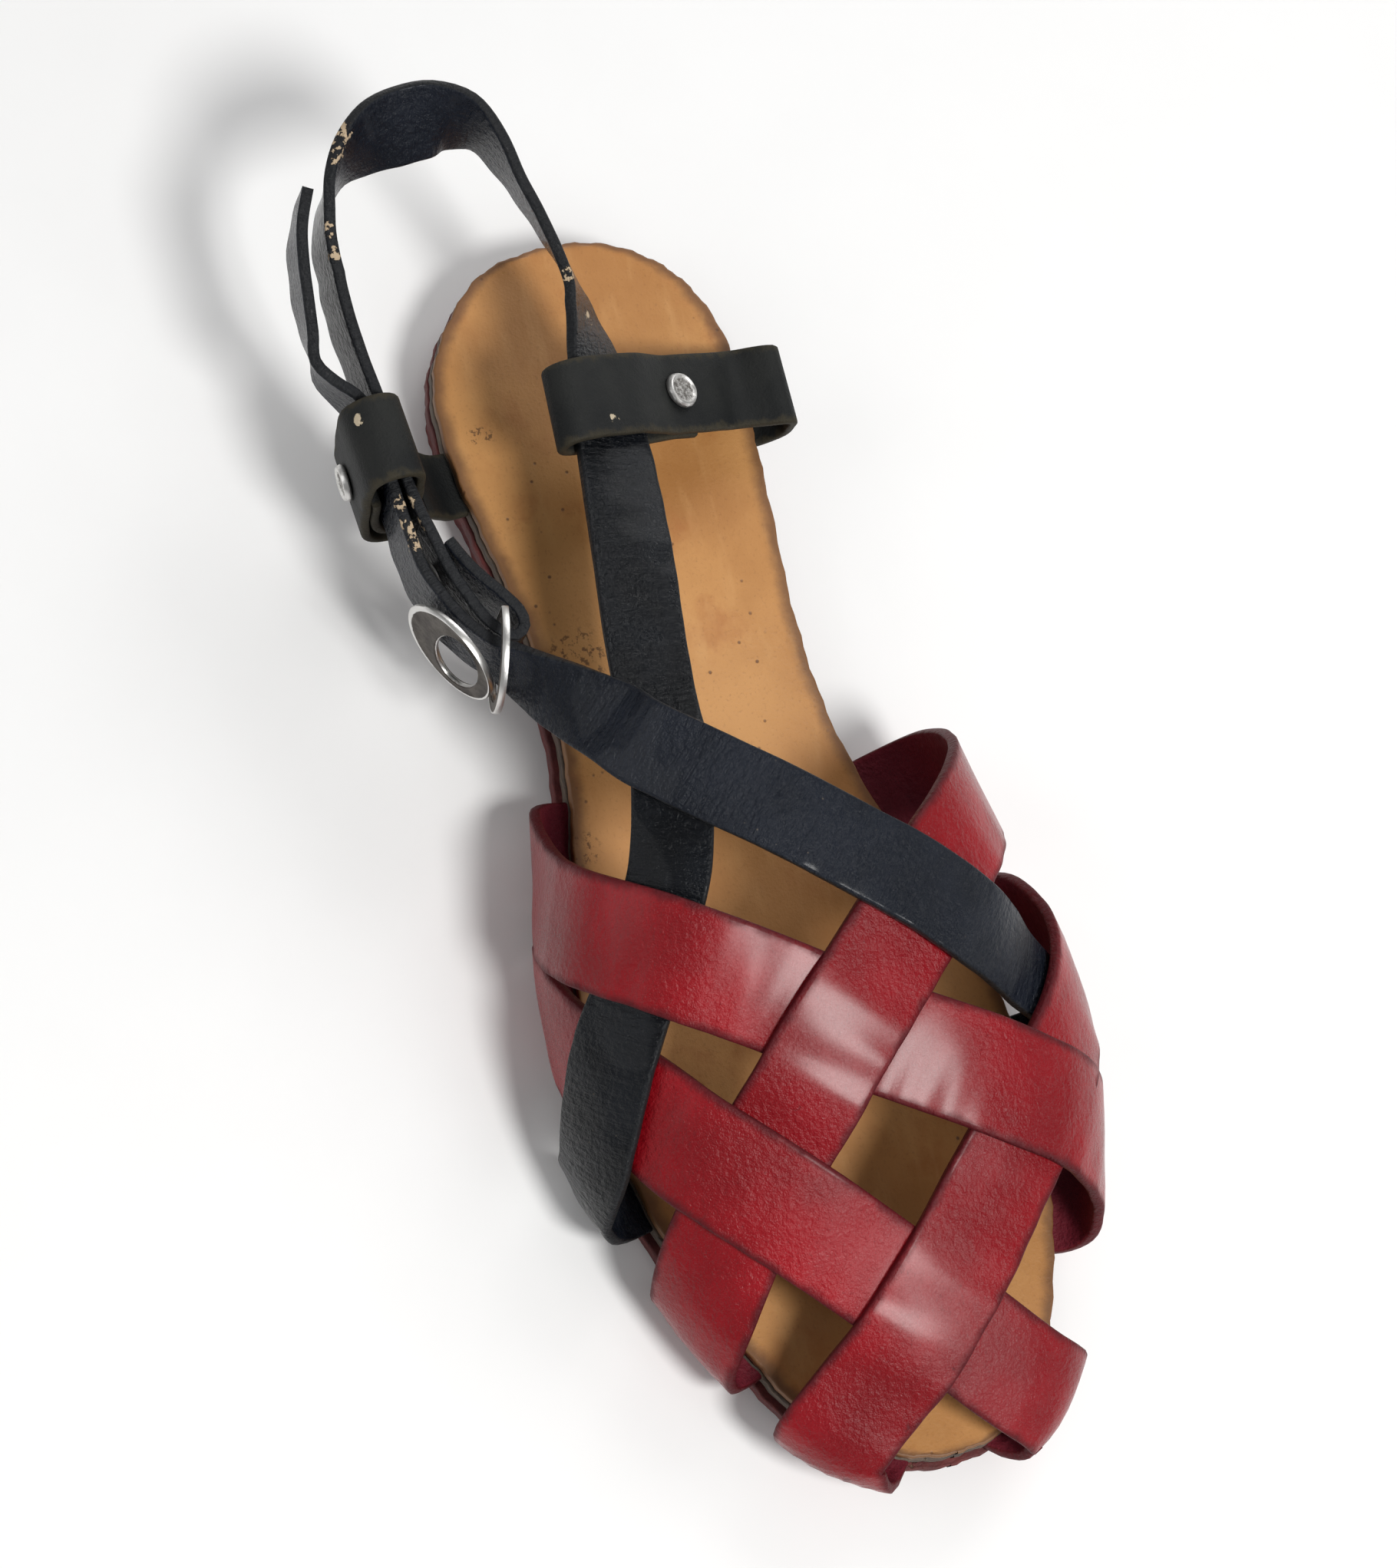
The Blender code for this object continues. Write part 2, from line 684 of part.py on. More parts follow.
def combine(target, other, operation):
    step = target.modifiers.new(f"{operation.lower()}_{other.name}", "BOOLEAN")
    step.operation = operation
    step.solver = "EXACT"
    step.object = other
    other.hide_render = True
    other.display_type = "WIRE"


def rivet(name, centre, axis, grip, look, dome=0.0013, sides=16):
    """Two domed heads on a shank, each head SEAM off the face it holds; dome is the height of the first."""
    axis = unit(np.array(axis))
    across = unit(np.cross(axis, (0.3, 0.2, 1.0)))
    up = np.cross(axis, across)
    half = grip / 2 + SEAM
    back = half + 0.0006
    profile = (
        (0.0, half + dome),
        (RIVET_RADIUS * 0.45, half + dome * 0.92),
        (RIVET_RADIUS * 0.8, half + dome * 0.62),
        (RIVET_RADIUS, half + dome * 0.23),
        (RIVET_RADIUS * 0.96, half),
        (SHANK_RADIUS, half),
        (SHANK_RADIUS, -half),
        (RIVET_RADIUS * 0.75, -half),
        (RIVET_RADIUS * 0.75, -back + 0.0003),
        (RIVET_RADIUS * 0.5, -back),
        (0.0, -back),
    )
    points, faces = [centre + axis * profile[0][1]], []
    for radius, height in profile[1:-1]:
        for k in range(sides):
            angle = 2 * math.pi * k / sides
            points.append(centre + axis * height + (across * math.cos(angle) + up * math.sin(angle)) * radius)
    points.append(centre + axis * profile[-1][1])
    last = len(points) - 1
    rings = len(profile) - 2
    for k in range(sides):
        n = (k + 1) % sides
        faces.append((0, 1 + k, 1 + n))
        for i in range(rings - 1):
            a, b = 1 + i * sides, 1 + (i + 1) * sides
            faces.append((a + k, b + k, b + n, a + n))
        base = 1 + (rings - 1) * sides
        faces.append((base + n, base + k, last))
    points = np.array(points)
    if volume(points, faces) < 0:
        faces = [face[::-1] for face in faces]
    return addMesh(name, points, faces, look)


def ring(name, centre, axis, held, hole, look, sides=44):
    """A flat ring; hole gives, in shares of RING_RADIUS, half its height, half its length, how far it lies towards
    the held side, and the reach of a straight bar on that side (0 for none)."""
    axis = unit(np.array(axis))
    held = unit(np.array(held) - axis * np.dot(held, axis))
    cross = np.cross(axis, held)
    high, length, shift, bar = [share * RING_RADIUS for share in hole]
    outer = bar + RING_BAR if bar else 1.0
    inner = bar if bar else 1.0
    points, faces = [], []
    for level in (-0.5, 0.5):
        for reach, tall, offset, limit in ((RING_RADIUS, RING_RADIUS, 0.0, outer), (length, high, shift, inner)):
            for k in range(sides):
                angle = 2 * math.pi * k / sides
                along = min(reach * math.cos(angle) + offset, limit)
                points.append(centre + held * along + cross * tall * math.sin(angle) + axis * RING_THICK * level)
    top = 2 * sides
    for k in range(sides):
        n = (k + 1) % sides
        faces.append((k, n, top + n, top + k))
        faces.append((sides + n, sides + k, top + sides + k, top + sides + n))
        faces.append((sides + k, sides + n, n, k))
        faces.append((top + k, top + n, top + sides + n, top + sides + k))
    points = np.array(points)
    if volume(points, faces) < 0:
        faces = [face[::-1] for face in faces]
    return addMesh(name, points, faces, look)


def keeperLanes(plane, held, across, up, profile, skew, notchShare, side, lean):
    """Rows for a keeper: tucked in the sole, out and up as lean says (reach, rise, width), then round the profile."""
    along = unit(held)
    place = around(notchShare)
    edge, out = edgePoint(place, side), edgeNormal(place, side)
    run = np.array([-out[1], out[0]]) * (1 if out[1] < 0 else -1)
    low = strapRoot(edge[0]) - KEEPER_THICK / 2
    way = unit(np.array([run[0], run[1], 0.0]))
    if way[0] * along[0] < 0:
        way = -way
    rows = []
    for reach, rise, width in lean:
        plan = edge + out * reach
        rows.append((np.array([plan[0], plan[1], low + rise]), way * width))
    for a, b in profile:
        rows.append((plane + (across * a + up * b + along * (skew[0] * a + skew[1] * b)) * LOOP_UNIT, along))
    half = KEEPER_WIDTH / 2
    return np.array([[centre + way * half * (lane - 1) for lane in range(3)] for centre, way in rows])


def placed(shares):
    return np.array(shares[:3]) * (INSOLE_LENGTH, BALL_WIDTH, INSTEP_HEIGHT)


def tableCentre(rows, key):
    ordered = sorted(rows, key=lambda row: row[0])
    return placed((key, smooth(ordered, 1, key), smooth(ordered, 2, key)))


def main():
    clearScene()
    buildLast()
    tan = material("insole leather", (0.62, 0.36, 0.17), 0.55)
    brown = material("midsole board", (0.22, 0.16, 0.12), 0.75)
    oxblood = material("outsole leather", (0.26, 0.05, 0.045), 0.55)
    red = material("red leather", (0.45, 0.02, 0.035), 0.3)
    black = material("black leather", (0.018, 0.02, 0.027), 0.38)
    matte = material("keeper leather", (0.03, 0.032, 0.036), 0.6)
    nickel = material("worn nickel", (0.55, 0.54, 0.52), 0.3, 1.0)

    def outsoleRim(place):
        share = alongShare(place)
        return OUTSOLE_RIM * smooth(((0.0, 0.15), (0.2, 0.35), (0.42, 1.0), (1.0, 1.1)), 1, share)

    def heelRim(place):
        return -0.55 * OUTSOLE_RIM

    outTop = OUTSOLE_THICK
    midLow = outTop + SEAM
    midTop = midLow + MIDSOLE_THICK
    inLow = midTop + SEAM
    soleLayer("outsole", bottom, lambda x: bottom(x) + outTop, outsoleRim, oxblood)
    midsole = soleLayer("midsole", lambda x: bottom(x) + midLow, lambda x: bottom(x) + midTop,
                        lambda place: 0.25 * outsoleRim(place), brown)
    soleLayer("insole", lambda x: bottom(x) + inLow, lambda x: bottom(x) + inLow + INSOLE_THICK,
              lambda place: 0.0, tan)
    soleLayer("heel_lift", lambda x: 0.0, lambda x: HEEL_RISE - SEAM, heelRim, oxblood, first=0, final=15)

    vampKeys = [0, 0.022, 0.045, 0.06, 0.075, 0.09, 0.11, 0.13, 0.155, 0.18, 0.205, 0.235, 0.27, 0.305, 0.34]
    vampKeys += [0.375, 0.41, 0.45, 0.49, 0.53, 0.565, 0.60, 0.635, 0.67, 0.705, 0.74, 0.77, 0.80, 0.825]
    vampKeys += [0.85, 0.87, 0.89, 0.91, 0.925, 0.94, 0.955, 0.978, 1.0]
    straps = {}
    for name, route in (("p1", P1_ROUTE), ("p2", P2_ROUTE), ("q1", Q1_ROUTE), ("q2", Q2_ROUTE)):
        lanes = routeLanes(route, RED_WIDTH, RED_THICK, 4, vampKeys)
        straps[name] = (lanes, strapSolid("vamp_" + name, lanes, RED_THICK, red))
        combine(midsole, notch(f"notch_{name}_outer", lanes, 0, 2, brown), "DIFFERENCE")
        combine(midsole, notch(f"notch_{name}_inner", lanes[::-1], 0, 2, brown), "DIFFERENCE")
    vamp = straps["p1"][1]
    vamp.name = "woven_vamp"
    for name in ("q1", "p2", "q2"):
        combine(vamp, straps[name][1], "UNION")

    laid = routeLanes(INSTEP_ROUTE, BLACK_WIDTH, BLACK_THICK, 2, [k for k in vampKeys[::-1] if k >= 0.34])
    free = leaningLanes(INSTEP_RUN, BLACK_WIDTH, 2, laid[-1].mean(axis=0))
    if np.linalg.norm(free[0][0] - laid[-1][0]) > np.linalg.norm(free[0][-1] - laid[-1][0]):
        free = free[:, ::-1]
    instep = refine(np.concatenate([laid, free]))
    strapSolid("instep_strap", instep, BLACK_THICK, black)
    combine(midsole, notch("notch_instep", laid, 0, 2, brown), "DIFFERENCE")

    laid = routeLanes(ANKLE_ROUTE, BLACK_WIDTH, BLACK_THICK, 2, [k for k in vampKeys if k <= 0.35])
    free = leaningLanes(ANKLE_RUN + FOLD_RUN, BLACK_WIDTH, 2, laid[-1].mean(axis=0))
    if np.linalg.norm(free[0][0] - laid[-1][0]) > np.linalg.norm(free[0][-1] - laid[-1][0]):
        free = free[:, ::-1]
    ankle = refine(np.concatenate([laid, free]))
    ankleStrap = strapSolid("ankle_strap", ankle, BLACK_THICK, black)
    combine(midsole, notch("notch_ankle", laid, 0, 2, brown), "DIFFERENCE")

    low = ANKLE_RUN[21:]
    sling = tableCentre(low, OUTER_KEEPER_AT[1])
    heading = unit(tableCentre(low, OUTER_KEEPER_AT[1] + 0.02) - tableCentre(low, OUTER_KEEPER_AT[1] - 0.02))
    heading = unit(np.array([heading[0], heading[1], 0.0]))
    inwards = np.array([-heading[1], heading[0], 0.0])
    lean = math.radians(KEEPER_LEAN)
    rise = np.array([0.0, 0.0, 1.0])
    level = inwards
    inwards = level * math.cos(lean) + rise * math.sin(lean)
    rise = rise * math.cos(lean) - level * math.sin(lean)
    outwards = -inwards
    middle = sling + outwards * (BLACK_THICK + 0.0004) / 2
    lean = (
        (-TUCK, 0.0, 0.8),
        (-TUCK / 2, 0.0, 0.8),
        (0.0, 0.0, 0.8),
        (0.0035, 0.0012, 0.82),
        (0.0068, 0.0050, 0.86),
        (0.0100, 0.0095, 0.92),
    )
    outerLanes = keeperLanes(middle, heading, inwards, rise, OUTER_LOOP, OUTER_SKEW, OUTER_KEEPER_AT[0], -1, lean)
    outerRows = refine(outerLanes, 0.003)
    outerKeeper = strapSolid("outer_keeper", outerRows, KEEPER_THICK, matte)
    combine(midsole, notch("notch_outer_keeper", outerLanes, 0, 2, brown), "DIFFERENCE")

    front = ANKLE_RUN[:11]
    centre = tableCentre(front, INNER_KEEPER_AT[1])
    heading = unit(tableCentre(front, INNER_KEEPER_AT[1] + 0.02) - tableCentre(front, INNER_KEEPER_AT[1] - 0.02))
    tilt = math.radians(-smooth(sorted(front), 3, INNER_KEEPER_AT[1]))
    inwards = unit(np.cross((0, 0, 1.0), heading))
    down = unit(-inwards * math.cos(tilt) + np.array([0, 0, math.sin(tilt)]))
    if down[1] > 0:
        down = -down
    upward = unit(np.cross(heading, down))
    if upward[2] < 0:
        upward = -upward
    lean = (
        (-TUCK, 0.0, 0.9),
        (-TUCK / 2, 0.0, 0.9),
        (0.0, 0.0, 0.9),
        (0.0030, 0.0012, 0.9),
        (0.0054, 0.0045, 0.92),
        (0.0060, 0.0090, 0.95),
        (0.0045, 0.0135, 1.0),
    )
    innerLanes = keeperLanes(centre, heading, down, upward, INNER_LOOP, INNER_SKEW, INNER_KEEPER_AT[0], 1, lean)
    innerRows = refine(innerLanes, 0.003)
    innerKeeper = strapSolid("inner_keeper", innerRows, KEEPER_THICK, matte)
    combine(midsole, notch("notch_inner_keeper", innerLanes, 0, 2, brown), "DIFFERENCE")

    # Rivets through both layers of each keeper and of the fold
    def through(name, piece, point, axis, grip, dome=0.0013):
        rivet("rivet_" + name, point, axis, grip, nickel, dome)
        combine(piece, cylinder("hole_" + name, point, axis, SHANK_RADIUS + SEAM, 0.02, nickel), "DIFFERENCE")

    gap = abs(OUTER_LOOP[4][0] - OUTER_LOOP[16][0]) * LOOP_UNIT
    point = middle - outwards * LOOP_UNIT * (OUTER_LOOP[4][0] + OUTER_LOOP[16][0]) / 2
    through("outer_keeper", outerKeeper, point - (rise + heading * OUTER_SKEW[1]) * 0.22 * LOOP_UNIT, outwards, gap + KEEPER_THICK)
    point = centre + (down + heading * INNER_SKEW[0]) * LOOP_UNIT * -1.08
    through("inner_keeper", innerKeeper, point, upward, 0.185 * LOOP_UNIT + KEEPER_THICK)
    ends = [placed(row) for row in FOLD_RIVET_AT]
    through("fold", ankleStrap, (ends[0] + ends[1]) / 2, ends[0] - ends[1],
            np.linalg.norm(ends[1] - ends[0]) + BLACK_THICK + 0.0006, 0.0006)

    # Rings: one with its bar in the fold and the instep strap through it, one lying on the strap's outer face
    ahead = np.array([0.968, -0.25, 0.0])
    centre = placed(THREADED_RING_AT) + ahead * (THREADED_HOLE[3] * RING_RADIUS + RING_BAR / 2)
    ring("ring_threaded", centre, (0.247, 0.956, 0.05), -ahead, THREADED_HOLE, nickel)
    ring("ring_resting", placed(RESTING_RING_AT), (0.495, -0.869, 0.016), (0.869, 0.495, 0.0), RESTING_HOLE, nickel)


main()
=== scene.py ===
import math

import bmesh
import bpy
import numpy as np
from mathutils import Matrix, Vector


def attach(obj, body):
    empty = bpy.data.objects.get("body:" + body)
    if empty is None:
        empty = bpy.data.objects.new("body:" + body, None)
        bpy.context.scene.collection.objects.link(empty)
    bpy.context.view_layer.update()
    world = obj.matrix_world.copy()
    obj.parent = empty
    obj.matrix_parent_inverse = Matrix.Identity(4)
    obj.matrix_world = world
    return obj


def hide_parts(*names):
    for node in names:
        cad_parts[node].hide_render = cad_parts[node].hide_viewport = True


# Looks of the sandal. The last, the outline and the routes repeat part.py's tables, at finer steps.
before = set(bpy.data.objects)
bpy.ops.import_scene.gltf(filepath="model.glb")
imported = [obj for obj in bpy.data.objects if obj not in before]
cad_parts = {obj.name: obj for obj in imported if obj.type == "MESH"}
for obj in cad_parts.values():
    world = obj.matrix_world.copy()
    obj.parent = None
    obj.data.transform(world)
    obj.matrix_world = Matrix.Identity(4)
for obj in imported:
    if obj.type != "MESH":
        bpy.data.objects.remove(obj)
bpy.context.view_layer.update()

# Sole
insoleLength = 0.2525
ballWidth = 0.087
heelCentre = 0.11  # share of insoleLength from the back of the heel to the origin
outsoleThick = 0.0034
midsoleThick = 0.0030
insoleThick = 0.0025
heelRise = 0.0075
toeSpring = 0.0055
seam = 0.0003  # gap left between pieces that touch
outsoleRimMost = 0.0018  # how far the outsole stands past the insole at the forefoot

# Upper
instepHeight = 0.062
redWidth = 0.0215
redThick = 0.0022
blackWidth = 0.016
blackThick = 0.0022
tuck = 0.008  # strap end held between insole and outsole
fullness = 2.25  # power of the cross-section of the last
rowStep = 0.0050  # spacing of rows along a strap

# Keepers, rings and rivets
keeperWidth = 0.017
keeperThick = 0.0018
loopUnit = 1.0625 * blackWidth  # the keepers' loops fit round the black straps
ringRadius = 0.0111
ringThick = 0.0013
ringBar = 0.0015
rivetRadius = 0.0037

# Insole edge: share of insoleLength, outer side and inner side in shares of ballWidth
edgeRows = (
    (0.000, 0.000, 0.000),
    (0.012, -0.195, 0.144),
    (0.040, -0.293, 0.247),
    (0.100, -0.389, 0.324),
    (0.170, -0.393, 0.331),
    (0.250, -0.351, 0.322),
    (0.330, -0.308, 0.313),
    (0.420, -0.293, 0.343),
    (0.500, -0.328, 0.414),
    (0.580, -0.380, 0.500),
    (0.660, -0.397, 0.577),
    (0.740, -0.370, 0.603),
    (0.820, -0.305, 0.572),
    (0.900, -0.205, 0.503),
    (0.960, -0.098, 0.410),
    (0.990, 0.035, 0.310),
    (1.000, 0.172, 0.172),
)

# Last: share of insoleLength, height of the widest line and of the ridge in shares of instepHeight, place of
# the ridge across, bulge past the insole on the outer and inner side in shares of ballWidth
lastRows = (
    (0.36, 0.36, 1.000, 0.52, 0.095, 0.135),
    (0.45, 0.34, 0.970, 0.53, 0.095, 0.130),
    (0.55, 0.28, 0.910, 0.54, 0.088, 0.110),
    (0.65, 0.235, 0.810, 0.56, 0.085, 0.085),
    (0.75, 0.205, 0.680, 0.58, 0.085, 0.075),
    (0.84, 0.19, 0.565, 0.60, 0.080, 0.065),
    (0.92, 0.185, 0.475, 0.60, 0.070, 0.055),
    (1.00, 0.19, 0.400, 0.60, 0.060, 0.050),
)

# Routes over the last: share of the way across from the outer tuck to the inner one, place along the last
# (0 heel, 1 toe, as an angle), lift off the last in shares of redThick
p1Route = (
    (0.00, 0.492, 0.0),
    (0.07, 0.494, 0.0),
    (0.15, 0.522, 0.0),
    (0.24, 0.547, 1.4),
    (0.30, 0.5635, 1.5),
    (0.345, 0.578, 1.4),
    (0.40, 0.596, 0.25),
    (0.46, 0.615, 0.0),
    (0.54, 0.637, 0.15),
    (0.61, 0.655, 1.0),
    (0.665, 0.669, 1.2),
    (0.72, 0.681, 1.15),
    (0.82, 0.705, 0.3),
    (0.93, 0.728, 0.0),
    (1.00, 0.730, 0.0),
)
p2Route = (
    (0.00, 0.558, 0.0),
    (0.07, 0.560, 0.0),
    (0.13, 0.583, -0.3),
    (0.165, 0.598, -0.4),
    (0.225, 0.625, -0.3),
    (0.28, 0.658, 0.8),
    (0.31, 0.675, 0.85),
    (0.355, 0.701, 0.8),
    (0.42, 0.740, 0.1),
    (0.49, 0.780, 0.0),
    (0.63, 0.848, 0.0),
    (0.76, 0.888, 0.0),
    (0.90, 0.905, 0.0),
    (1.00, 0.907, 0.0),
)
q1Route = (
    (0.00, 0.768, 0.0),
    (0.07, 0.766, 0.0),
    (0.17, 0.746, 0.0),
    (0.305, 0.6895, 0.0),
    (0.375, 0.660, 0.1),
    (0.41, 0.645, 0.8),
    (0.45, 0.627, 0.85),
    (0.485, 0.613, 0.8),
    (0.545, 0.591, 0.0),
    (0.60, 0.570, 0.0),
    (0.76, 0.522, 0.0),
    (0.93, 0.500, 0.0),
    (1.00, 0.498, 0.0),
)
q2Route = (
    (0.00, 0.905, 0.0),
    (0.10, 0.902, 0.0),
    (0.25, 0.864, 0.0),
    (0.38, 0.824, 0.1),
    (0.43, 0.805, 0.8),
    (0.485, 0.780, 0.85),
    (0.54, 0.753, 0.8),
    (0.60, 0.722, 0.1),
    (0.65, 0.694, 0.2),
    (0.695, 0.669, 0.9),
    (0.735, 0.650, 0.95),
    (0.775, 0.632, 0.9),
    (0.85, 0.597, 0.85),
    (0.89, 0.582, 0.4),
    (0.93, 0.576, 0.0),
    (1.00, 0.575, 0.0),
)
instepRoute = (
    (1.00, 0.641, 0.0),
    (0.93, 0.641, 0.0),
    (0.88, 0.640, -0.4),
    (0.84, 0.636, -0.5),
    (0.735, 0.620, -0.5),
    (0.69, 0.606, -0.3),
    (0.66, 0.597, 0.9),
    (0.632, 0.587, 1.4),
    (0.585, 0.567, 1.35),
    (0.535, 0.549, 1.2),
    (0.47, 0.525, 0.9),
    (0.40, 0.498, 0.8),
    (0.34, 0.472, 0.6),
)
ankleRoute = (
    (0.00, 0.668, 0.0),
    (0.05, 0.668, 0.0),
    (0.07, 0.668, 0.02),
    (0.085, 0.667, 0.3),
    (0.115, 0.661, 1.35),
    (0.15, 0.652, 1.5),
    (0.20, 0.625, 1.3),
    (0.24, 0.600, 1.05),
    (0.27, 0.581, 0.0),
    (0.30, 0.562, -0.4),
    (0.337, 0.534, -0.7),
    (0.352, 0.512, -0.9),
)

# Free runs: x in shares of insoleLength, y in shares of ballWidth, z in shares of instepHeight, lean of the
# strap in degrees (0 flat, -90 on edge), width in shares of blackWidth
ankleRun = (
    (0.3450, -0.174, 0.766, 4, 0.96),
    (0.3100, -0.166, 0.730, 2, 0.96),
    (0.2550, -0.153, 0.720, 0, 0.98),
    (0.2000, -0.134, 0.715, -4, 1.0),
    (0.1450, -0.117, 0.700, -10, 1.0),
    (0.1000, -0.104, 0.685, -18, 1.0),
    (0.0620, -0.094, 0.672, -29, 1.0),
    (0.0240, -0.090, 0.664, -41, 0.97),
    (0.0000, -0.094, 0.670, -52, 0.92),
    (-0.0360, -0.106, 0.702, -66, 0.90),
    (-0.0780, -0.153, 0.766, -73, 0.90),
    (-0.1150, -0.204, 0.823, -78, 0.90),
    (-0.1420, -0.250, 0.875, -86, 0.94),
    (-0.1560, -0.308, 0.900, -108, 0.97),
    (-0.1590, -0.370, 0.915, -127, 0.98),
    (-0.1570, -0.439, 0.915, -132, 0.98),
    (-0.1520, -0.500, 0.907, -124, 0.98),
    (-0.1425, -0.555, 0.883, -108, 0.96),
    (-0.1290, -0.602, 0.852, -95, 0.95),
    (-0.1070, -0.632, 0.820, -89, 0.95),
    (-0.0850, -0.6460, 0.787, -89, 0.95),
    (-0.0469, -0.6430, 0.735, -90, 0.96),
    (-0.0195, -0.6300, 0.676, -92, 0.98),
    (0.0104, -0.6090, 0.618, -93, 0.99),
    (0.0400, -0.5900, 0.595, -94, 1.0),
    (0.0760, -0.5790, 0.575, -94, 1.0),
    (0.1130, -0.5690, 0.575, -92, 1.0),
    (0.1570, -0.5460, 0.585, -90, 0.97),
    (0.1800, -0.5290, 0.592, -90, 0.92),
    (0.1980, -0.5080, 0.598, -90, 0.85),
    (0.2160, -0.4830, 0.602, -90, 0.76),
)
foldRun = (
    (0.2290, -0.4510, 0.604, -90, 0.71),
    (0.2335, -0.4240, 0.604, -90, 0.70),
    (0.2270, -0.4010, 0.604, -90, 0.70),
    (0.2150, -0.4040, 0.603, -90, 0.73),
    (0.2010, -0.4320, 0.600, -90, 0.82),
    (0.1870, -0.4650, 0.596, -89, 0.92),
    (0.1710, -0.4940, 0.590, -88, 0.98),
    (0.1545, -0.5160, 0.585, -88, 0.98),
)
instepRun = (
    (0.321, -0.284, 0.803, 22, 1.0),
    (0.293, -0.350, 0.720, 40, 0.90),
    (0.270, -0.402, 0.650, 60, 0.84),
    (0.254, -0.434, 0.612, 74, 0.82),
    (0.243, -0.462, 0.595, 82, 0.82),
    (0.232, -0.494, 0.590, 86, 0.86),
    (0.214, -0.533, 0.582, 87, 0.90),
    (0.192, -0.565, 0.578, 88, 0.92),
    (0.172, -0.586, 0.575, 90, 0.93),
    (0.148, -0.597, 0.574, 90, 0.94),
    (0.114, -0.6040, 0.574, 92, 0.96),
    (0.0765, -0.6100, 0.575, 94, 1.0),
    (0.0395, -0.6210, 0.593, 94, 1.0),
    (0.0220, -0.6560, 0.618, 97, 1.0),
    (0.0090, -0.6900, 0.645, 102, 1.0),
    (-0.0060, -0.7090, 0.672, 106, 1.0),
    (-0.0260, -0.7130, 0.702, 96, 0.96),
    (-0.0485, -0.7150, 0.742, 92, 0.95),
    (-0.0820, -0.7080, 0.790, 90, 0.90),
    (-0.1030, -0.6920, 0.842, 88, 0.62),
    (-0.1210, -0.6680, 0.884, 88, 0.16),
)

# Keeper profiles in the plane across the strap they hold: towards the inner side and up, in shares of
# loopUnit, measured from the middle of the held straps
outerLoop = (
    (0.30, -0.95),
    (0.05, -0.95),
    (-0.20, -0.90),
    (-0.355, -0.68),
    (-0.385, -0.25),
    (-0.385, 0.15),
    (-0.345, 0.55),
    (-0.17, 0.695),
    (0.08, 0.695),
    (0.218, 0.55),
    (0.227, 0.10),
    (0.222, -0.25),
    (0.205, -0.54),
    (0.08, -0.70),
    (-0.10, -0.71),
    (-0.235, -0.56),
    (-0.267, -0.25),
    (-0.267, 0.08),
)
keeperLean = 4  # degrees that the outer keeper and the straps in it lean outwards
# The same for the inner keeper: along the keeper towards its looped end, and square to it
innerLoop = (
    (-2.15, 0.05),
    (-1.65, 0.05),
    (-1.25, 0.075),
    (-0.95, 0.08),
    (-0.65, 0.155),
    (-0.35, 0.228),
    (0.10, 0.243),
    (0.50, 0.222),
    (0.70, 0.13),
    (0.76, 0.0),
    (0.70, -0.13),
    (0.50, -0.222),
    (0.10, -0.243),
    (-0.35, -0.228),
    (-0.65, -0.15),
    (-0.95, -0.075),
    (-1.20, -0.075),
    (-1.42, -0.075),
)
# Keepers, in shares of insoleLength: the notch from the back of the heel, the loop from the origin
outerKeeperAt = (0.1815, 0.0750)
innerKeeperAt = (0.160, 0.064)
outerSkew = (0.0, -0.1)  # slant of each loop along the held strap, for a step across and a step up
innerSkew = (0.19, 0.0)

# Places of small pieces, x, y and z in shares of insoleLength, ballWidth and instepHeight
foldRivetAt = ((0.1648, -0.5397, 0.5855), (0.1608, -0.5075, 0.5855))  # strap and flap at the rivet
threadedRingAt = (0.2166, -0.4414, 0.6097)  # the bar in the fold
restingRingAt = (0.2283, -0.5525, 0.5565)
# Holes of the rings, in shares of ringRadius: half height, half length, shift, reach of the bar
threadedHole = (0.80, 0.80, 0.0, 0.505)
restingHole = (0.81, 0.486, 0.198, 0.0)

lastGrid = {}


def smooth(rows, column, at):
    # Cubic through one column of a table, keyed by the first column, straight past its ends.
    keys = [row[0] for row in rows]
    values = [row[column] for row in rows]
    if keys[0] > keys[-1]:
        keys, values = keys[::-1], values[::-1]
    steps = [b - a for a, b in zip(keys, keys[1:])]
    rates = [(b - a) / step for a, b, step in zip(values, values[1:], steps)]
    if at <= keys[0]:
        return values[0] + rates[0] * (at - keys[0])
    if at >= keys[-1]:
        return values[-1] + rates[-1] * (at - keys[-1])
    slopes = [rates[0]]
    for i in range(1, len(rates)):
        slopes.append((rates[i - 1] * steps[i] + rates[i] * steps[i - 1]) / (steps[i - 1] + steps[i]))
    slopes.append(rates[-1])
    i = max(k for k in range(len(steps)) if keys[k] <= at)
    q = (at - keys[i]) / steps[i]
    start = (2 * q**3 - 3 * q**2 + 1) * values[i] + (q**3 - 2 * q**2 + q) * steps[i] * slopes[i]
    end = (3 * q**2 - 2 * q**3) * values[i + 1] + (q**3 - q**2) * steps[i] * slopes[i + 1]
    return start + end


def around(share):
    return math.acos(1 - 2 * share) / math.pi


def alongShare(place):
    return (1 - math.cos(math.pi * place)) / 2


edgeByPlace = tuple((around(share), outer, inner) for share, outer, inner in edgeRows)


def edgePoint(place, side):
    column = 1 if side < 0 else 2
    across = smooth(edgeByPlace, column, place) * ballWidth
    return np.array([(alongShare(place) - heelCentre) * insoleLength, across])


def edgeNormal(place, side):
    if place < 1e-6:
        return np.array([-1.0, 0.0])
    if place > 1 - 1e-6:
        return np.array([1.0, 0.0])
    before, after = max(0.0, place - 0.004), min(1.0, place + 0.004)
    run = edgePoint(after, side) - edgePoint(before, side)
    run /= np.linalg.norm(run)
    return np.array([-run[1], run[0]]) * (1 if side > 0 else -1)


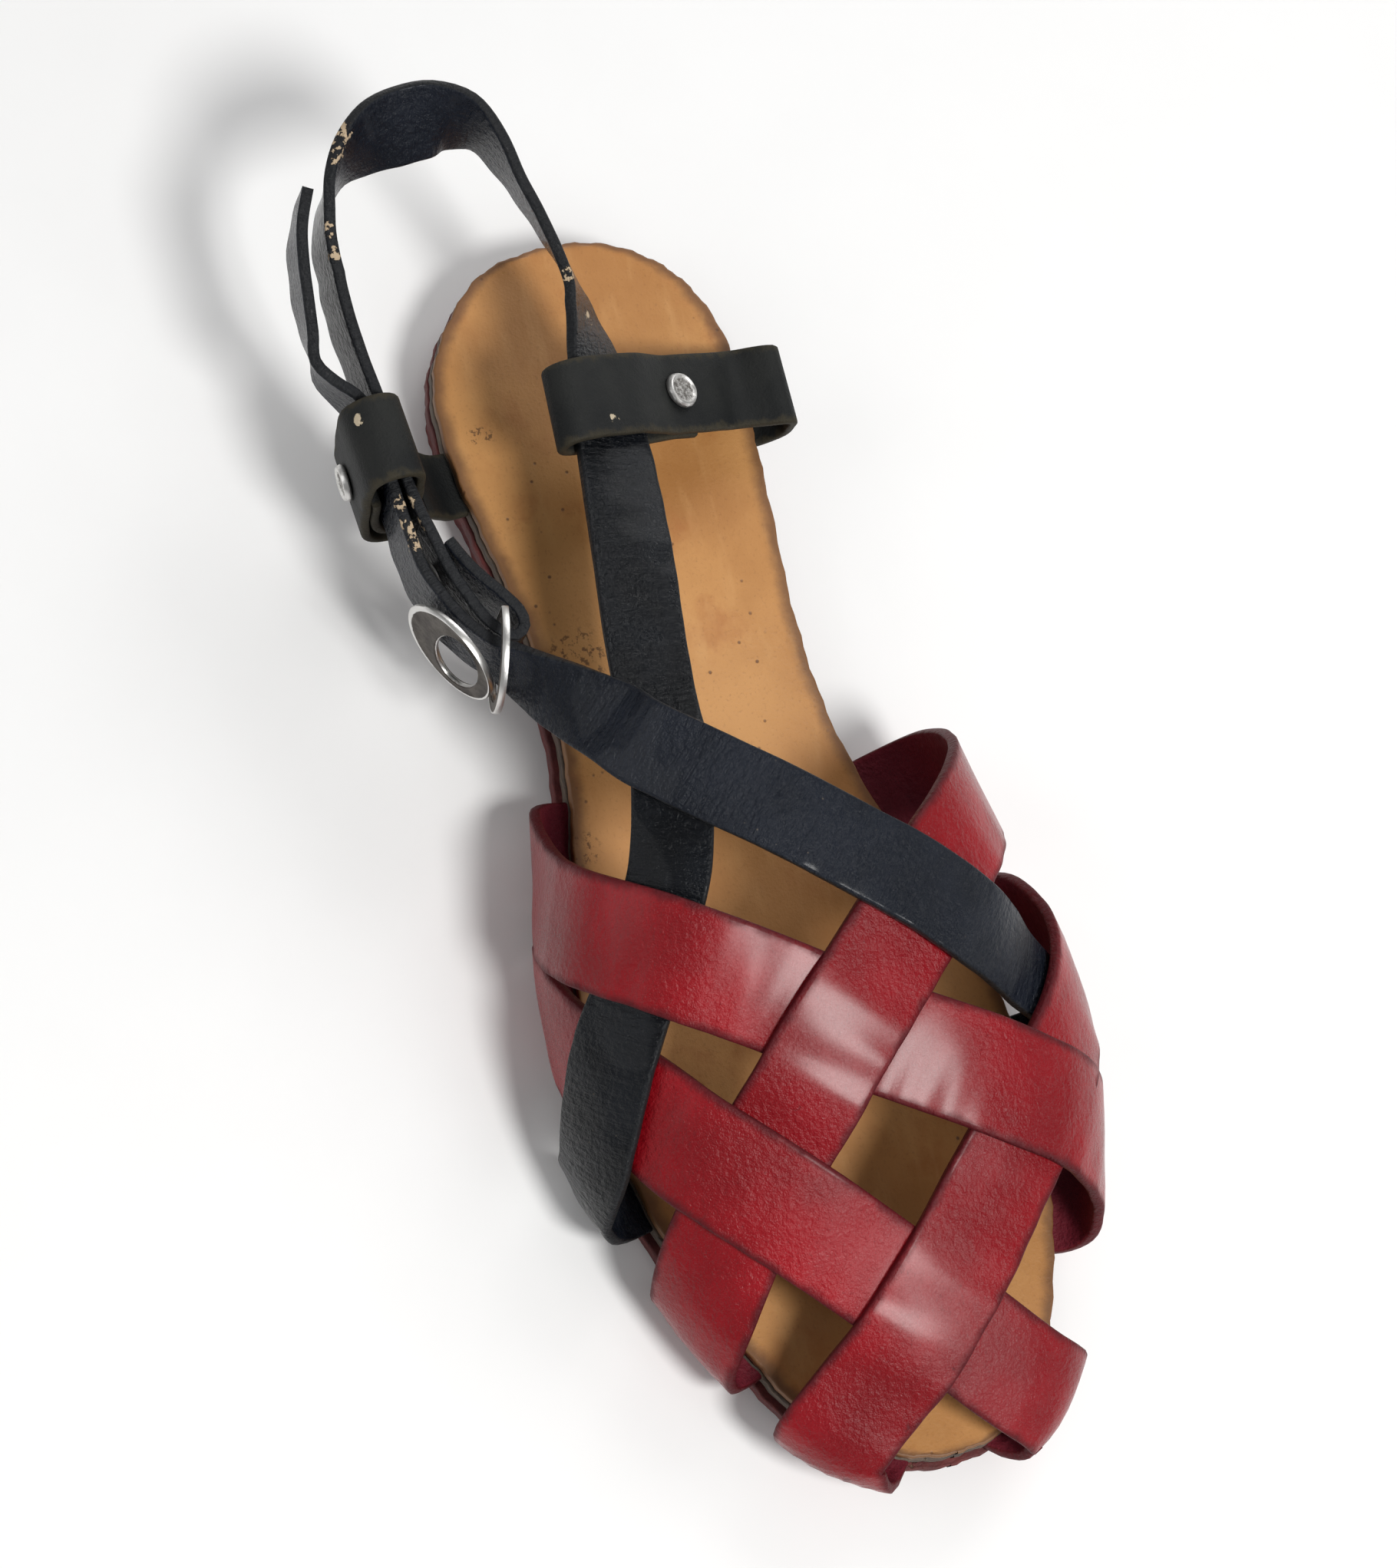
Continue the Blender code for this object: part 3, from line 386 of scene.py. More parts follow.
def bottom(x):
    # Height of the underside of the outsole: heel lift, down through the waist, flat ball, toe spring.
    share = x / insoleLength + heelCentre
    if share < 0.27:
        return heelRise
    if share < 0.54:
        t = (share - 0.27) / 0.27
        return heelRise * (1 - t * t * (3 - 2 * t))
    if share < 0.78:
        return 0.0
    return toeSpring * ((share - 0.78) / 0.22) ** 1.7


def strapRoot(x):
    return bottom(x) + outsoleThick + seam + midsoleThick - 0.0002


def lastSection(place):
    # One line across the last: inwards end of the outer tuck, round the foot, to the end of the inner tuck.
    share = alongShare(place)
    widest, apex, ridge, outerBulge, innerBulge = [smooth(lastRows, column, share) for column in range(1, 6)]
    ends = [edgePoint(place, side) for side in (-1, 1)]
    normals = [edgeNormal(place, side) for side in (-1, 1)]
    bulges = [outerBulge * ballWidth, innerBulge * ballWidth]
    sides = [end + normal * bulge for end, normal, bulge in zip(ends, normals, bulges)]
    top = sides[0] + (sides[1] - sides[0]) * ridge
    wideHeight = bottom(ends[0][0]) + widest * instepHeight
    fall = max(0.0, (share - 0.90) / 0.10)
    topHeight = wideHeight + (apex * instepHeight - wideHeight) * math.sqrt(max(0.0, 1 - fall**2.2))
    halves = []
    for end, normal, bulge, side in zip(ends, normals, bulges, sides):
        half = []
        for i in range(25):
            angle = i / 24 * math.pi / 2
            out = math.sin(angle) ** (2 / fullness)
            up = max(0.0, math.cos(angle)) ** (2 / fullness)
            plan = top + (side - top) * out
            half.append((*plan, wideHeight + (topHeight - wideHeight) * up))
        low = strapRoot(end[0])
        for i in range(1, 13):
            angle = i / 12 * math.pi / 2
            plan = end + normal * bulge * math.cos(angle)
            half.append((*plan, wideHeight - (wideHeight - low) * math.sin(angle)))
        for i in range(1, 5):
            plan = end - normal * tuck * i / 4
            half.append((*plan, strapRoot(plan[0])))
        halves.append(half)
    return np.array(halves[0][::-1][:-1] + halves[1])


def buildLast(first=0.40, final=0.999, count=121):
    # The last as a grid of points at even steps along and across, with its outward normals.
    grid = np.zeros((count, count, 3))
    for i in range(count):
        line = lastSection(first + (final - first) * i / (count - 1))
        run = np.concatenate([[0], np.cumsum(np.linalg.norm(np.diff(line, axis=0), axis=1))])
        for axis in range(3):
            grid[i, :, axis] = np.interp(np.linspace(0, run[-1], count), run, line[:, axis])
    normals = np.cross(np.gradient(grid, axis=0), np.gradient(grid, axis=1))
    normals /= np.maximum(np.linalg.norm(normals, axis=2, keepdims=True), 1e-12)
    if normals[count // 2, count // 2, 2] < 0:
        normals = -normals
    lastGrid.update(grid=grid, normals=normals, first=first, final=final, count=count)


def sample(field, place, across):
    count = lastGrid["count"]
    first, final = lastGrid["first"], lastGrid["final"]
    i = min(max((place - first) / (final - first), 0.0), 1.0) * (count - 1)
    j = min(max(across, 0.0), 1.0) * (count - 1)
    a, b = min(int(i), count - 2), min(int(j), count - 2)
    i, j = i - a, j - b
    f = lastGrid[field]
    low = f[a, b] * (1 - j) + f[a, b + 1] * j
    high = f[a + 1, b] * (1 - j) + f[a + 1, b + 1] * j
    return low * (1 - i) + high * i


def slopes(place, across):
    e = 0.006
    along = (sample("grid", place + e, across) - sample("grid", place - e, across)) / (2 * e)
    low, high = max(0.0, across - e), min(1.0, across + e)
    over = (sample("grid", place, high) - sample("grid", place, low)) / (high - low)
    return along, over


def unit(vector):
    return vector / max(np.linalg.norm(vector), 1e-12)


def routeLanes(route, width, thick, lanes, rows=None):
    # Rows of points on the middle of a strap laid over the last, rear edge first.
    made = []
    keys = rows or [row[0] for row in route]
    for across in keys:
        place = smooth(route, 1, across)
        rate = (smooth(route, 1, across + 0.01) - smooth(route, 1, across - 0.01)) / 0.02
        if across < 0.05 or across > 0.95:
            rate = 0.0
        along, over = slopes(place, across)
        heading = along * rate + over
        normal = unit(sample("normals", place, across))
        out = unit(np.cross(normal, heading))
        if out[0] * along[0] < 0:
            out = -out
        lift = smooth(route, 2, across) * redThick + thick / 2
        row = []
        for share in lanes:
            reach = share * width / 2
            p, w = place, across
            for _ in range(4):
                along, over = slopes(p, w)
                step, *_ = np.linalg.lstsq(np.stack([along, over], axis=1), out * reach / 4, rcond=None)
                gone = np.linalg.norm(along * step[0] + over * step[1])
                step *= abs(reach / 4) / max(gone, 1e-9)
                p, w = p + step[0], w + step[1]
            row.append(sample("grid", p, w) + unit(sample("normals", p, w)) * lift)
        made.append(row)
    return np.array(made)


def leaningLanes(rows, width, lanes, first=None):
    # Rows of points on the middle of a strap that runs free, from centres, leans and widths.
    centres = [placed(row) for row in rows]
    before = [first] if first is not None else []
    line = before + centres
    made = []
    for i, row in enumerate(rows):
        k = i + len(before)
        heading = unit(line[min(k + 1, len(line) - 1)] - line[max(k - 1, 0)])
        side = unit(np.cross(heading, (0, 0, 1)))
        up = np.cross(side, heading)
        lean = math.radians(row[3])
        out = side * math.cos(lean) + up * math.sin(lean)
        half = width * row[4] / 2
        made.append([centres[i] + out * half * share for share in lanes])
    return np.array(made)


def refine(lanes, step=rowStep):
    # Even rows along a strap, by a cubic through each lane.
    middle = lanes.mean(axis=1)
    run = np.concatenate([[0], np.cumsum(np.linalg.norm(np.diff(middle, axis=0), axis=1))])
    made = []
    for i in range(len(lanes) - 1):
        gap = run[i + 1] - run[i]
        parts = max(1, round(gap / step))
        a = (lanes[i + 1] - lanes[i - 1]) / (run[i + 1] - run[i - 1]) * gap if i else lanes[1] - lanes[0]
        last = i + 2 >= len(lanes)
        b = lanes[i + 1] - lanes[i] if last else (lanes[i + 2] - lanes[i]) / (run[i + 2] - run[i]) * gap
        for k in range(parts):
            q = k / parts
            made.append(
                (2 * q**3 - 3 * q**2 + 1) * lanes[i]
                + (q**3 - 2 * q**2 + q) * a
                + (3 * q**2 - 2 * q**3) * lanes[i + 1]
                + (q**3 - q**2) * b
            )
    made.append(lanes[-1])
    return np.array(made)


def laneNormals(lanes):
    along = np.gradient(lanes, axis=0)
    over = np.gradient(lanes, axis=1)
    normals = np.cross(over, along)
    return normals / np.maximum(np.linalg.norm(normals, axis=2, keepdims=True), 1e-12)


def keeperLanes(plane, held, across, up, profile, skew, notchShare, side, climb):
    # Rows for a keeper: from the sole out and up as climb says (reach, rise, width), then round the profile.
    along = unit(held)
    place = around(notchShare)
    edge, out = edgePoint(place, side), edgeNormal(place, side)
    run = np.array([-out[1], out[0]]) * (1 if out[1] < 0 else -1)
    low = strapRoot(edge[0]) - keeperThick / 2
    way = unit(np.array([run[0], run[1], 0.0]))
    if way[0] * along[0] < 0:
        way = -way
    rows = []
    for reach, rise, width in climb:
        plan = edge + out * reach
        rows.append((np.array([plan[0], plan[1], low + rise]), way * width))
    for a, b in profile:
        rows.append((plane + (across * a + up * b + along * (skew[0] * a + skew[1] * b)) * loopUnit, along))
    half = keeperWidth / 2
    return np.array([[centre + way * half * share for share in strapCut["lanes"]] for centre, way in rows])


def placed(shares):
    return np.array(shares[:3]) * (insoleLength, ballWidth, instepHeight)


def tableCentre(rows, key):
    ordered = sorted(rows, key=lambda row: row[0])
    return placed((key, smooth(ordered, 1, key), smooth(ordered, 2, key)))


class Value:
    # One output of a shader node, with the sums and maps that the looks need.
    def __init__(self, tree, socket):
        self.tree, self.socket = tree, socket

    def make(self, kind, settings=None, inputs=None, output=0):
        node = self.tree.nodes.new(kind)
        for name, value in (settings or {}).items():
            setattr(node, name, value)
        for name, value in (inputs or {}).items():
            if isinstance(value, Value):
                self.tree.links.new(value.socket, node.inputs[name])
            else:
                node.inputs[name].default_value = value
        return Value(self.tree, node.outputs[output])

    def math(self, operation, *others):
        return self.make("ShaderNodeMath", {"operation": operation}, dict(enumerate((self, *others))))

    def __add__(self, other):
        return self.math("ADD", other)

    __radd__ = __add__

    def __mul__(self, other):
        return self.math("MULTIPLY", other)

    __rmul__ = __mul__

    def __sub__(self, other):
        return self.math("SUBTRACT", other)

    def __rsub__(self, other):
        return self.math("MULTIPLY_ADD", -1.0, other)

    def high(self, other):
        return self.math("MAXIMUM", other)

    def size(self):
        return self.math("ABSOLUTE")

    def between(self, low, high):
        inputs = {"Value": self, "From Min": low, "From Max": high}
        return self.make("ShaderNodeMapRange", {"interpolation_type": "SMOOTHSTEP"}, inputs)

    def blend(self, first, second):
        settings = {"data_type": "RGBA"}
        return self.make("ShaderNodeMix", settings, {0: self, 6: colour(first), 7: colour(second)}, 2)

    def noise(self, scale, detail=4.0, stretch=(1, 1, 1), rough=0.55):
        place = self.make("ShaderNodeVectorMath", {"operation": "MULTIPLY"}, {0: self, 1: stretch})
        inputs = {"Vector": place, "Scale": scale, "Detail": detail, "Roughness": rough}
        return self.make("ShaderNodeTexNoise", {}, inputs)

    def cells(self, scale):
        return self.make("ShaderNodeTexVoronoi", {"feature": "F1"}, {"Vector": self, "Scale": scale})

    def near(self, spots):
        # Spots are x, y, z and radius, in metres.
        found = None
        for spot in spots:
            reach = self.make("ShaderNodeVectorMath", {"operation": "DISTANCE"}, {0: self, 1: spot[:3]}, 1)
            inside = 1.0 - reach.between(spot[3] * 0.35, spot[3])
            found = inside if found is None else found.high(inside)
        return found


def colour(value):
    return value if isinstance(value, Value) else (*value, 1.0)


def surface(name, build):
    # A material from a look: what the look returns goes to the shader's sockets, and Height to a bump.
    made = bpy.data.materials.new(name)
    made.use_nodes = True
    tree = made.node_tree
    shader = tree.nodes["Principled BSDF"]
    start = Value(tree, None)
    place = start.make("ShaderNodeTexCoord", {}, {}, 3)

    def attribute(word):
        return start.make("ShaderNodeAttribute", {"attribute_name": word}, {}, 2)

    spread = start.make("ShaderNodeCombineXYZ", {}, {0: attribute("along"), 1: attribute("over")})
    found = build(place, spread, attribute)
    for socket, value in found.items():
        if socket == "Height":
            settings = {"Strength": 1.0, "Distance": value[1], "Height": value[0]}
            value = start.make("ShaderNodeBump", {}, settings)
            socket = "Normal"
        if isinstance(value, Value):
            tree.links.new(value.socket, shader.inputs[socket])
        elif isinstance(value, tuple):
            shader.inputs[socket].default_value = (*value, 1.0)
        else:
            shader.inputs[socket].default_value = value
    return made


def redLook(place, spread, attribute):
    edge = attribute("across").size()
    skin = attribute("skin")
    ragged = place.noise(260, 3)
    worn = (edge + (ragged - 0.5) * 0.22).between(0.80, 1.0)
    cloud = place.noise(45, 4)
    broad = place.noise(14, 2)
    grain = place.noise(850, 3, (1, 1, 1), 0.6)
    pores = place.noise(3000, 3)
    scuff = place.noise(150, 5, (1, 1, 1), 0.7).between(0.66, 0.76)
    top = cloud.between(0.3, 0.72).blend((0.21, 0.0025, 0.006), (0.36, 0.005, 0.012))
    top = (broad.between(0.35, 0.68) * 0.5).blend(top, (0.15, 0.002, 0.006))
    top = (pores.between(0.60, 0.72) * 0.5).blend(top, (0.07, 0.002, 0.004))
    top = (scuff * 0.7).blend(top, (0.06, 0.004, 0.007))
    top = (worn * 0.8).blend(top, (0.045, 0.003, 0.006))
    under = cloud.between(0.3, 0.7).blend((0.11, 0.008, 0.017), (0.17, 0.014, 0.026))
    under = (pores.between(0.5, 0.7) * 0.5).blend(under, (0.05, 0.005, 0.010))
    inside = (0.0 - skin).between(0.3, 0.7)
    rough = 0.19 + cloud * 0.10 + worn * 0.25 + scuff * 0.2 + pores * 0.08 + inside * 0.35
    height = grain * 1.3 + pores * 0.35 + ragged * 0.6 + cloud * 1.2 + scuff * -0.4
    return {
        "Base Color": inside.blend(top, under),
        "Roughness": rough,
        "Height": (height, 0.00034),
        "Coat Weight": 0.25 * (1.0 - inside) * (1.0 - worn),
        "Coat Roughness": 0.2,
        "Specular IOR Level": 0.22,
    }


flakeSpots = (
    (-0.0374, -0.0511, 0.0617, 0.0045),
    (-0.0332, -0.0519, 0.0608, 0.0035),
    (-0.0208, -0.0570, 0.0566, 0.0030),
    (-0.0164, -0.0567, 0.0552, 0.0030),
    (-0.0075, -0.0113, 0.0504, 0.0030),
    (-0.0014, -0.0071, 0.0418, 0.0032),
    (0.0298, -0.0518, 0.0433, 0.0035),
    (0.0344, -0.0516, 0.0432, 0.0040),
    (0.0383, -0.0516, 0.0431, 0.0035),
)


def blackLook(place, spread, attribute):
    edge = attribute("across").size()
    skin = attribute("skin")
    ragged = place.noise(900, 4)
    creases = spread.noise(1.0, 5, (900, 190, 1), 0.6)
    fine = place.noise(2600, 3)
    cloud = place.noise(60, 4)
    worn = (edge + (ragged - 0.5) * 0.25).between(0.86, 1.0)
    inside = (0.0 - skin).between(0.3, 0.7)
    flaked = (place.near(flakeSpots) * 0.8 + (ragged - 0.5) * 2.4).between(0.78, 0.88)
    specks = place.cells(420).between(0.10, 0.04) * place.noise(30, 2).between(0.55, 0.62)
    top = cloud.between(0.3, 0.7).blend((0.0022, 0.0028, 0.004), (0.006, 0.0075, 0.0105))
    top = (worn * 0.8).blend(top, (0.018, 0.019, 0.021))
    under = cloud.between(0.3, 0.7).blend((0.005, 0.007, 0.012), (0.011, 0.014, 0.022))
    base = inside.blend(top, under)
    base = (specks * 0.6).blend(base, (0.16, 0.13, 0.10))
    base = flaked.blend(base, (0.52, 0.40, 0.27))
    rough = 0.12 + creases * 0.15 + worn * 0.2 + inside * 0.08 + flaked * 0.5
    height = creases * 1.6 + fine * 0.35 + place.noise(800, 3) * 1.3 + cloud * 1.1 + flaked * -0.9
    return {
        "Base Color": base,
        "Roughness": rough,
        "Height": (height, 0.00045),
        "Coat Weight": 0.12 * (1.0 - flaked) * (1.0 - worn),
        "Coat Roughness": 0.12,
        "Specular IOR Level": 0.17,
    }


keeperSpots = (
    (0.0222, -0.0091, 0.0481, 0.0026),
    (0.0136, -0.0572, 0.0471, 0.0022),
    (0.0255, -0.0530, 0.0440, 0.0020),
)


def keeperLook(place, spread, attribute):
    edge = attribute("across").size()
    ragged = place.noise(420, 4)
    fine = place.noise(2400, 4)
    cloud = place.noise(70, 4)
    worn = (edge + (ragged - 0.5) * 0.5).between(0.80, 1.0)
    flaked = (place.near(keeperSpots) * 0.8 + (ragged - 0.5) * 2.4).between(0.72, 0.82)
    base = cloud.between(0.3, 0.7).blend((0.008, 0.009, 0.0095), (0.017, 0.018, 0.017))
    base = (worn * 0.55).blend(base, (0.055, 0.045, 0.026))
    base = (fine.between(0.58, 0.72) * 0.5).blend(base, (0.007, 0.007, 0.008))
    base = flaked.blend(base, (0.50, 0.42, 0.30))
    return {
        "Base Color": base,
        "Roughness": 0.50 + cloud * 0.16 + worn * 0.1,
        "Height": (fine * 0.8 + ragged * 0.8 + cloud * 1.0 + flaked * -1.0, 0.00022),
        "Specular IOR Level": 0.2,
    }


# Painted shade on the insole: spots under the floating ankle strap and at the keeper and strap roots, as x, y, z
# and radius in metres
shadeSpots = (
    (0.0580, -0.0190, 0.0135, 0.0085),
    (0.0660, -0.0175, 0.0125, 0.0065),
    (0.0560, -0.0110, 0.0135, 0.0030),
    (0.0100, -0.0270, 0.0170, 0.0035),
    (0.0950, -0.0260, 0.0110, 0.0050),
    (0.0300, 0.0040, 0.0160, 0.0020),
)


def insoleLook(place, spread, attribute):
    edge = attribute("rim")
    ragged = place.noise(330, 5)
    cloud = place.noise(22, 5)
    patch = place.noise(60, 5, (1, 1, 1), 0.65)
    fine = place.noise(1500, 4)
    streaks = place.noise(240, 4, (0.25, 1, 1))
    specks = place.cells(260).between(0.13, 0.05) * place.noise(38, 2).between(0.46, 0.56)
    crumbs = place.noise(620, 4, (1, 1, 1), 0.7).between(0.53, 0.60)
    # Painted shade: the insole is darkened in speckle at the spots under the straps and at their roots
    dark = place.near(shadeSpots).between(0.05, 0.7) * crumbs
    rim = (edge + (ragged - 0.5) * 0.35 + (patch - 0.5) * 0.3).between(0.45, 1.0)
    base = cloud.between(0.3, 0.7).blend((0.41, 0.175, 0.044), (0.62, 0.305, 0.098))
    base = (patch.between(0.52, 0.72) * 0.6).blend(base, (0.40, 0.140, 0.032))
    base = (streaks.between(0.5, 0.75) * 0.35).blend(base, (0.64, 0.34, 0.125))
    base = (fine.between(0.55, 0.75) * 0.3).blend(base, (0.26, 0.10, 0.028))
    # Painted shade: the darker brown laid in at those spots
    base = (dark * 0.75).blend(base, (0.085, 0.035, 0.016))
    base = (specks * 0.8).blend(base, (0.10, 0.04, 0.02))
    base = (rim * 0.8).blend(base, (0.13, 0.055, 0.022))
    return {
        "Base Color": base,
        "Roughness": 0.46 + cloud * 0.14 + dark * 0.15,
        "Height": (fine * 0.5 + streaks * 0.5 + patch * 1.0 + specks * -0.6, 0.00016),
    }


def layerLook(light, dark, stain):
    # Cut edge of a sole layer, with its fibres lying flat.
    def build(place, spread, attribute):
        fibres = place.noise(420, 5, (0.35, 0.35, 4.0), 0.65)
        cloud = place.noise(90, 4)
        fine = place.noise(1800, 3)
        nicks = place.noise(260, 5, (1, 1, 1), 0.7).between(0.64, 0.74)
        base = fibres.between(0.3, 0.72).blend(dark, light)
        base = (cloud.between(0.5, 0.7) * 0.6).blend(base, stain)
        base = (nicks * 0.7).blend(base, (0.20, 0.14, 0.09))
        return {
            "Base Color": base,
            "Roughness": 0.5 + fibres * 0.3,
            "Height": (fibres * 1.5 + fine * 0.4 + nicks * -1.2, 0.00028),
        }

    return build


def nickelLook(place, spread, attribute):
    rim = attribute("rim")
    pits = place.noise(1300, 5, (1, 1, 1), 0.7)
    cloud = place.noise(190, 4)
    fine = place.noise(4200, 3)
    bright = (rim + (pits - 0.5) * 0.9).between(0.42, 0.75)
    base = cloud.between(0.3, 0.7).blend((0.055, 0.047, 0.042), (0.14, 0.125, 0.11))
    base = (pits.between(0.55, 0.7) * 0.7).blend(base, (0.045, 0.036, 0.030))
    base = bright.blend(base, (0.72, 0.71, 0.69))
    return {
        "Base Color": base,
        "Metallic": 0.55 + bright * 0.45,
        "Roughness": 0.55 - bright * 0.28 + pits * 0.15,
        "Height": (pits * 1.2 * (1.0 - bright) + fine * 0.25, 0.00014),
    }


def floorLook(place, spread, attribute):
    grain = place.noise(35, 3)
    return {
        "Base Color": grain.blend((0.90, 0.90, 0.90), (0.93, 0.93, 0.93)),
        "Roughness": 0.75,
        "Height": (grain, 0.0002),
    }


midsoleLook = layerLook((0.16, 0.115, 0.08), (0.055, 0.040, 0.032), (0.10, 0.06, 0.05))
outsoleLook = layerLook((0.17, 0.030, 0.026), (0.075, 0.010, 0.012), (0.05, 0.012, 0.012))
looks = {
    "red": surface("red leather", redLook),
    "black": surface("black leather", blackLook),
    "keeper": surface("keeper leather", keeperLook),
    "insole": surface("insole leather", insoleLook),
    "midsole": surface("midsole board", midsoleLook),
    "outsole": surface("outsole leather", outsoleLook),
    "nickel": surface("worn nickel", nickelLook),
    "floor": surface("pale floor", floorLook),
}
print("looks made")


def addPiece(name, points, faces, look, values=None, sharp=50):
    mesh = bpy.data.meshes.new(name)
    mesh.from_pydata([tuple(map(float, p)) for p in points], [], [tuple(map(int, f)) for f in faces])
    for word, field in (values or {}).items():
        mesh.attributes.new(word, "FLOAT", "POINT").data.foreach_set("value", np.asarray(field, np.float32))
    shape = bmesh.new()
    shape.from_mesh(mesh)
    bmesh.ops.remove_doubles(shape, verts=shape.verts, dist=1e-6)
    bmesh.ops.recalc_face_normals(shape, faces=shape.faces)
    shape.to_mesh(mesh)
    shape.free()
    mesh.materials.append(looks[look])
    made = bpy.data.objects.new(name, mesh)
    bpy.context.scene.collection.objects.link(made)
    mesh.shade_smooth()
    mesh.set_sharp_from_angle(angle=math.radians(sharp))
    return made


def dress(made, node):
    # Puts a piece of the scene in the place of a solid.
    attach(made, "root")
    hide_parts(node)
    return made


strapCut = {
    "lanes": (-1, -0.985, -0.955, -0.9, -0.8, -0.55, -0.28, 0, 0.28, 0.55, 0.8, 0.9, 0.955, 0.985, 1),
    "corner": 0.00055,
    "step": 0.0014,
    "keeperStep": 0.0012,
    "ripple": 0.00012,
    "rippleLength": 0.0085,
    "calm": 0.4,  # share of the ripple on the middle line
    "skinEdge": 0.97,
}


def strapShape(name, lanes, width, thick, look, creases=()):
    # Creases are the share of the way along, depth, length and slant.
    normals = laneNormals(lanes)
    rows, across = lanes.shape[0], lanes.shape[1]
    middle = lanes.mean(axis=1)
    run = np.concatenate([[0], np.cumsum(np.linalg.norm(np.diff(middle, axis=0), axis=1))])
    share = np.array(strapCut["lanes"])
    over = share * width / 2
    inner = np.minimum((1 - np.abs(share)) * width / 2, strapCut["corner"])
    corner = strapCut["corner"]
    half = thick / 2 - corner + np.sqrt(np.maximum(0, corner**2 - (corner - inner) ** 2))
    ripple = strapCut["ripple"] * np.sin(run / strapCut["rippleLength"] * 2 * math.pi + len(name))
    calm = strapCut["calm"]
    shift = ripple[:, None] * (calm + (1 - calm) * share[None, :])
    for place, depth, spread, slant in creases:
        reach = (run[:, None] - place * run[-1] - slant * over[None, :]) / spread
        shift = shift - depth * np.exp(-(reach**2))
    body = lanes + normals * shift[:, :, None]
    top = body + normals * half[None, :, None]
    under = (body - normals * half[None, :, None])[:, ::-1]
    points = np.concatenate([top, under], axis=1)
    count = 2 * across
    faces = []
    for i in range(rows - 1):
        for j in range(count):
            n = (j + 1) % count
            faces.append((i * count + j, i * count + n, (i + 1) * count + n, (i + 1) * count + j))
    faces.append(tuple(range(count))[::-1])
    faces.append(tuple((rows - 1) * count + j for j in range(count)))
    skin = np.where(np.abs(share) > strapCut["skinEdge"], 0.0, 1.0)
    values = {
        "along": np.repeat(run, count),
        "over": np.tile(np.concatenate([over, over[::-1]]), rows),
        "across": np.tile(np.concatenate([share, share[::-1]]), rows),
        "skin": np.tile(np.concatenate([skin, -skin[::-1]]), rows),
    }
    return addPiece(name, points.reshape(-1, 3), faces, look, values)


soleCut = {
    "rows": 170,
    "columns": 34,
    "corner": 0.0005,
    "bevel": ((1.0, 0.0), (0.6, 0.08), (0.29, 0.29), (0.08, 0.6), (0.0, 1.0)),  # inwards and down, in corners
    "rim": 0.006,
    "wave": 0.00016,
    "turns": 190,
    "tip": 0.1,
    "underside": 5,
}


def soleShape(name, low, high, rim, look, last=1.0, dents=()):
    # A layer of the sole between two heights. Dents are x, y, half length, half width and depth.
    corner, wave, bevel, tipShare = soleCut["corner"], soleCut["wave"], soleCut["bevel"], soleCut["tip"]
    points, rims, rows = [], [], []
    for i in range(soleCut["rows"] + 1):
        place = i / soleCut["rows"] * last
        sides = []
        for side in (-1, 1):
            edge, out = edgePoint(place, side), edgeNormal(place, side)
            phase = place * side * soleCut["turns"]
            grown = rim(place) + wave * (math.sin(phase) + 0.6 * math.sin(phase * 2.7 + 1))
            line = []
            for inwards, drop in bevel:
                plan = edge + out * (grown - corner * inwards)
                line.append((plan, high(plan[0]) - corner * drop, 1.0))
            for inwards, drop in bevel[::-1]:
                plan = edge + out * (grown - corner * inwards)
                line.append((plan, low(plan[0]) + corner * drop, 1.0))
            sides.append(line)
        outer, inner = sides
        row = outer[::-1]
        start, end = outer[0][0], inner[0][0]
        length = np.linalg.norm(end - start)
        for k in range(1, soleCut["columns"]):
            t = (1 - math.cos(math.pi * k / soleCut["columns"])) / 2
            plan = start + (end - start) * t
            depth = min(t, 1 - t) * length
            tip = min(place / tipShare, 1.0) * min(max(1 - place, 0) / tipShare, 1.0)
            near = max(0.0, 1 - depth / soleCut["rim"], 1 - tip)
            sunk = 0
            for x, y, a, b, deep in dents:
                sunk += deep * math.exp(-(((plan[0] - x) / a) ** 2) - ((plan[1] - y) / b) ** 2)
            row.append((plan, high(plan[0]) - sunk * (1 - near), near))
        row += inner
        start, end = inner[-1][0], outer[-1][0]
        for k in range(1, soleCut["underside"]):
            plan = start + (end - start) * k / soleCut["underside"]
            row.append((plan, low(plan[0]), 0.0))
        rows.append(range(len(points), len(points) + len(row)))
        points += [(*plan, z) for plan, z, _ in row]
        rims += [near for _, _, near in row]
    faces = []
    count = len(rows[0])
    for a, b in zip(rows, rows[1:]):
        for j in range(count):
            n = (j + 1) % count
            faces.append((a[j], a[n], b[n], b[j]))
    if last < 1.0:
        faces.append(tuple(rows[-1]))
    return addPiece(name, points, faces, look, {"rim": rims}, 40)


ringCut = {
    "sides": 120,
    "edge": 0.45,  # share of the thickness left at the rounded rims
    "sunk": 0.28,
    "lines": (0.0, 0.05, 0.12, 0.22, 0.5, 0.80, 0.88, 0.95, 1.0),
}


